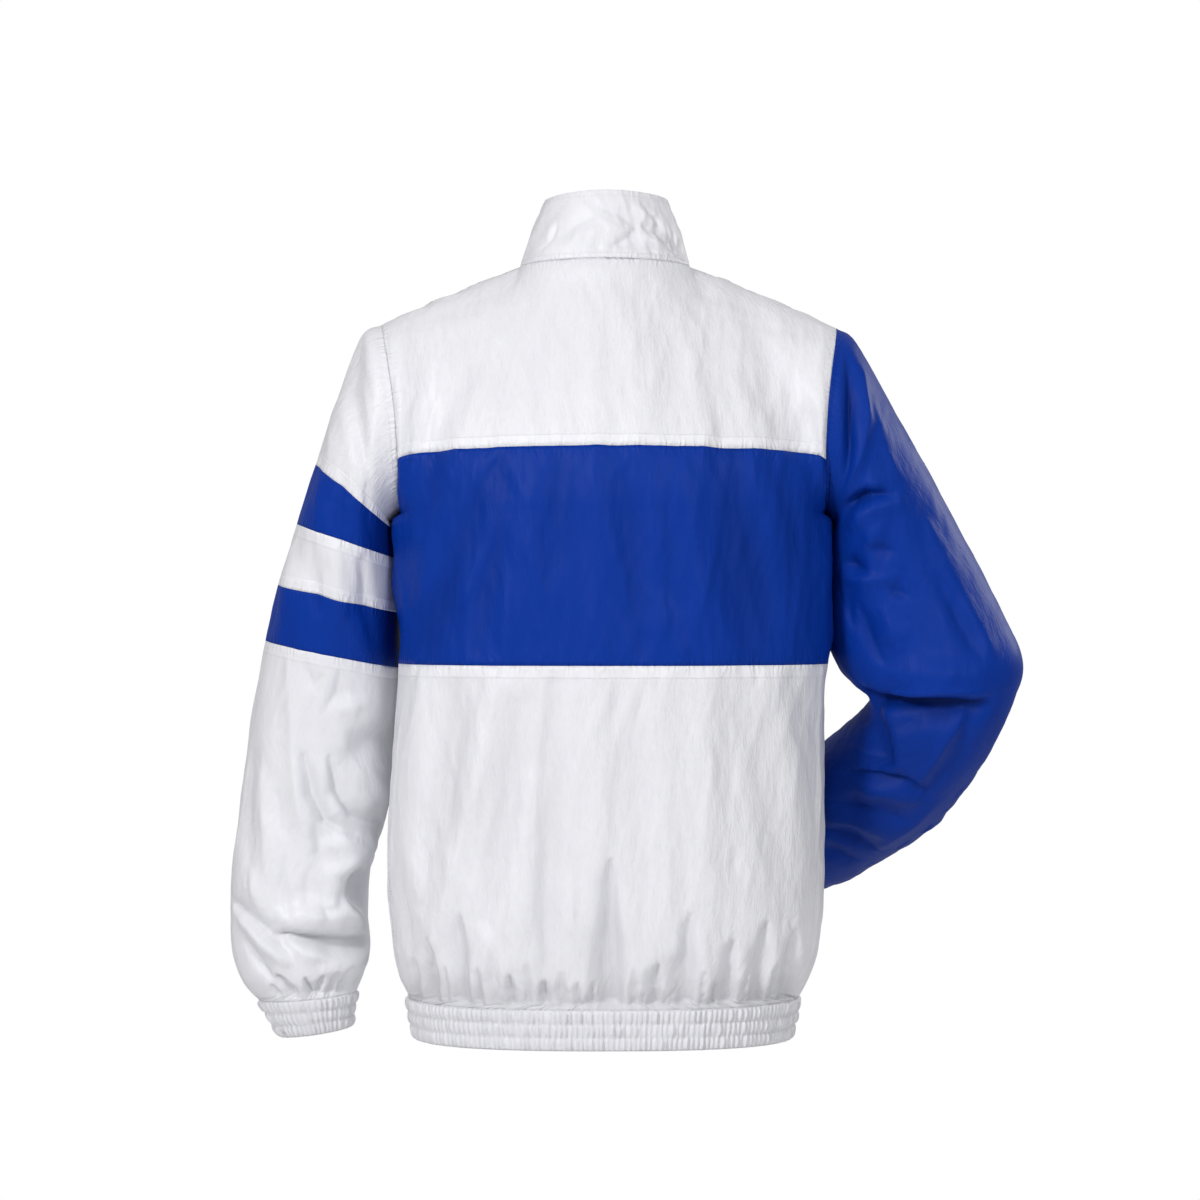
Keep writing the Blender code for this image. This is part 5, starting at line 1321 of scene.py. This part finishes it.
make_teeth()
for node, look in (("zip_tape_left", "tape"), ("zip_tape_right", "tape"), ("zip_slider", "metal"),
                   ("zip_pull", "metal")):
    mesh = bpy.data.objects[node].data
    for index in range(max(1, len(mesh.materials))):
        if len(mesh.materials) > index:
            mesh.materials[index] = LOOKS[look]
        else:
            mesh.materials.append(LOOKS[look])


# ---------------------------------------------------------------- sewing

def seam_rows(name, edge, *distances):
    ids = shell.panels[name]
    return [line_in(shell.points[ids], normals[ids], edge, d) for d in distances]


white_rows, blue_rows = [], []
for side in ("back", "front_left", "front_right"):
    white_rows += seam_rows(side + "_upper", "first", UPPER_ROW)
    white_rows += seam_rows(side + "_lower", "last", LOWER_ROW)
for side, edge in (("back", "left"), ("back", "right"), ("front_left", "right"), ("front_right", "left")):
    white_rows += seam_rows(side + "_upper", edge, NEAR_ROW)
    blue_rows += [tuple(a[-3 * FINE:] for a in line)
                  for line in seam_rows(side + "_band", edge, NEAR_ROW)]
for side in ("front_left", "front_right"):
    edge = "left" if side == "front_left" else "right"
    for part, rows in (("_upper", white_rows), ("_band", blue_rows), ("_lower", white_rows)):
        rows += seam_rows(side + part, edge, EDGE_ROW)
    white_rows += seam_rows(side + "_upper", "last", NEAR_ROW)
for part, edge, distance in (("cap", "last", CAP_ROW), ("middle", "first", EDGE_ROW),
                             ("middle", "last", EDGE_ROW), ("lower", "first", EDGE_ROW)):
    white_rows += seam_rows("sleeve_left_" + part, edge, distance)


def own_normals(grid):
    solo = Shell()
    ids = solo.add(grid)
    solo.panel("own", ids)
    return solo.normals()[ids]


collar_ways = own_normals(collar_grid)
white_rows += [line_in(collar_grid[:-3], collar_ways[:-3], edge, distance)
               for edge, distance in (("last", COLLAR_ROW), ("first", COLLAR_ROW),
                                      ("left", EDGE_ROW), ("right", EDGE_ROW))]
for grid, rows in ((hem_grid, white_rows), (cuff_left_grid, white_rows), (cuff_right_grid, blue_rows)):
    ways = own_normals(grid)
    rows += [(grid[k], ways[k]) for k in (CHANNEL_ROWS, 2 * CHANNEL_ROWS)]
threads = {"white": stitches("stitches_white", white_rows, LOOKS["white_thread"]),
           "blue": stitches("stitches_blue", blue_rows, LOOKS["blue_thread"])}


# ---------------------------------------------------------------- floor, light and camera

floor_mesh = bmesh.new()
bmesh.ops.create_circle(floor_mesh, cap_ends=True, segments=96, radius=2.4)
bmesh.ops.translate(floor_mesh, vec=(0, 0, -1.45), verts=floor_mesh.verts)
mesh = bpy.data.meshes.new("floor")
floor_mesh.to_mesh(mesh)
floor_mesh.free()
floor = bpy.data.objects.new("floor", mesh)
bpy.context.scene.collection.objects.link(floor)
mesh.materials.append(plain_look("pale_floor", (0.86, 0.86, 0.86, 1.0), "white_cloth", 0.7, grain=0.0))

SKY_ABOVE, SKY_BELOW = 0.50, 0.20      # strength of the soft light from above and from below
KEY, FRONT, EDGE = 57, 32, 18
KEY_PLACE, EDGE_PLACE = (1.85, 2.7, 1.0), (-2.2, -1.7, 0.6)
bpy.context.scene.view_settings.view_transform = "Standard"
world = bpy.data.worlds.new("studio")
bpy.context.scene.world = world
world.use_nodes = True
tree = world.node_tree
sky = tree.nodes["Background"]
sky.inputs[0].default_value = (1.0, 1.0, 1.0, 1.0)
way = add(tree, "ShaderNodeSeparateXYZ", [(0, add(tree, "ShaderNodeTexCoord").outputs["Generated"])])
height = add(tree, "ShaderNodeMapRange", [("Value", way.outputs[2]), ("From Min", -0.5), ("From Max", 0.7),
                                          ("To Min", SKY_BELOW), ("To Max", SKY_ABOVE)])
tree.links.new(height.outputs[0], sky.inputs[1])
# the white backdrop behind the coat is brighter than the light that it gives
backdrop = add(tree, "ShaderNodeBackground", [("Color", (1.0, 1.0, 1.0, 1.0)), ("Strength", 1.0)])
seen = add(tree, "ShaderNodeLightPath")
choose = add(tree, "ShaderNodeMixShader", [(0, seen.outputs["Is Camera Ray"]), (1, sky.outputs[0]),
                                           (2, backdrop.outputs[0])])
tree.links.new(choose.outputs[0], tree.nodes["World Output"].inputs[0])


def soft_light(name, place, target, size, power):
    lamp = bpy.data.lights.new(name, "AREA")
    lamp.shape, lamp.size, lamp.energy = "DISK", size, power
    obj = bpy.data.objects.new(name, lamp)
    obj.location = place
    obj.rotation_euler = (Vector(target) - Vector(place)).to_track_quat("-Z", "Y").to_euler()
    bpy.context.scene.collection.objects.link(obj)


soft_light("key", KEY_PLACE, (0, 0, -0.35), 0.6, KEY)
soft_light("front", (-1.3, 3.1, 0.9), (0, 0, -0.35), 0.8, FRONT)
soft_light("edge", EDGE_PLACE, (-0.25, 0, -0.3), 0.5, EDGE)

lens = bpy.data.cameras.new("camera")
lens.lens, lens.sensor_width = 97.8, 36.0
camera = bpy.data.objects.new("camera", lens)
camera.location = (0.0064, 3.0, -0.309)
camera.rotation_euler = (math.radians(90), 0, math.radians(180))
bpy.context.scene.collection.objects.link(camera)
bpy.context.scene.camera = camera
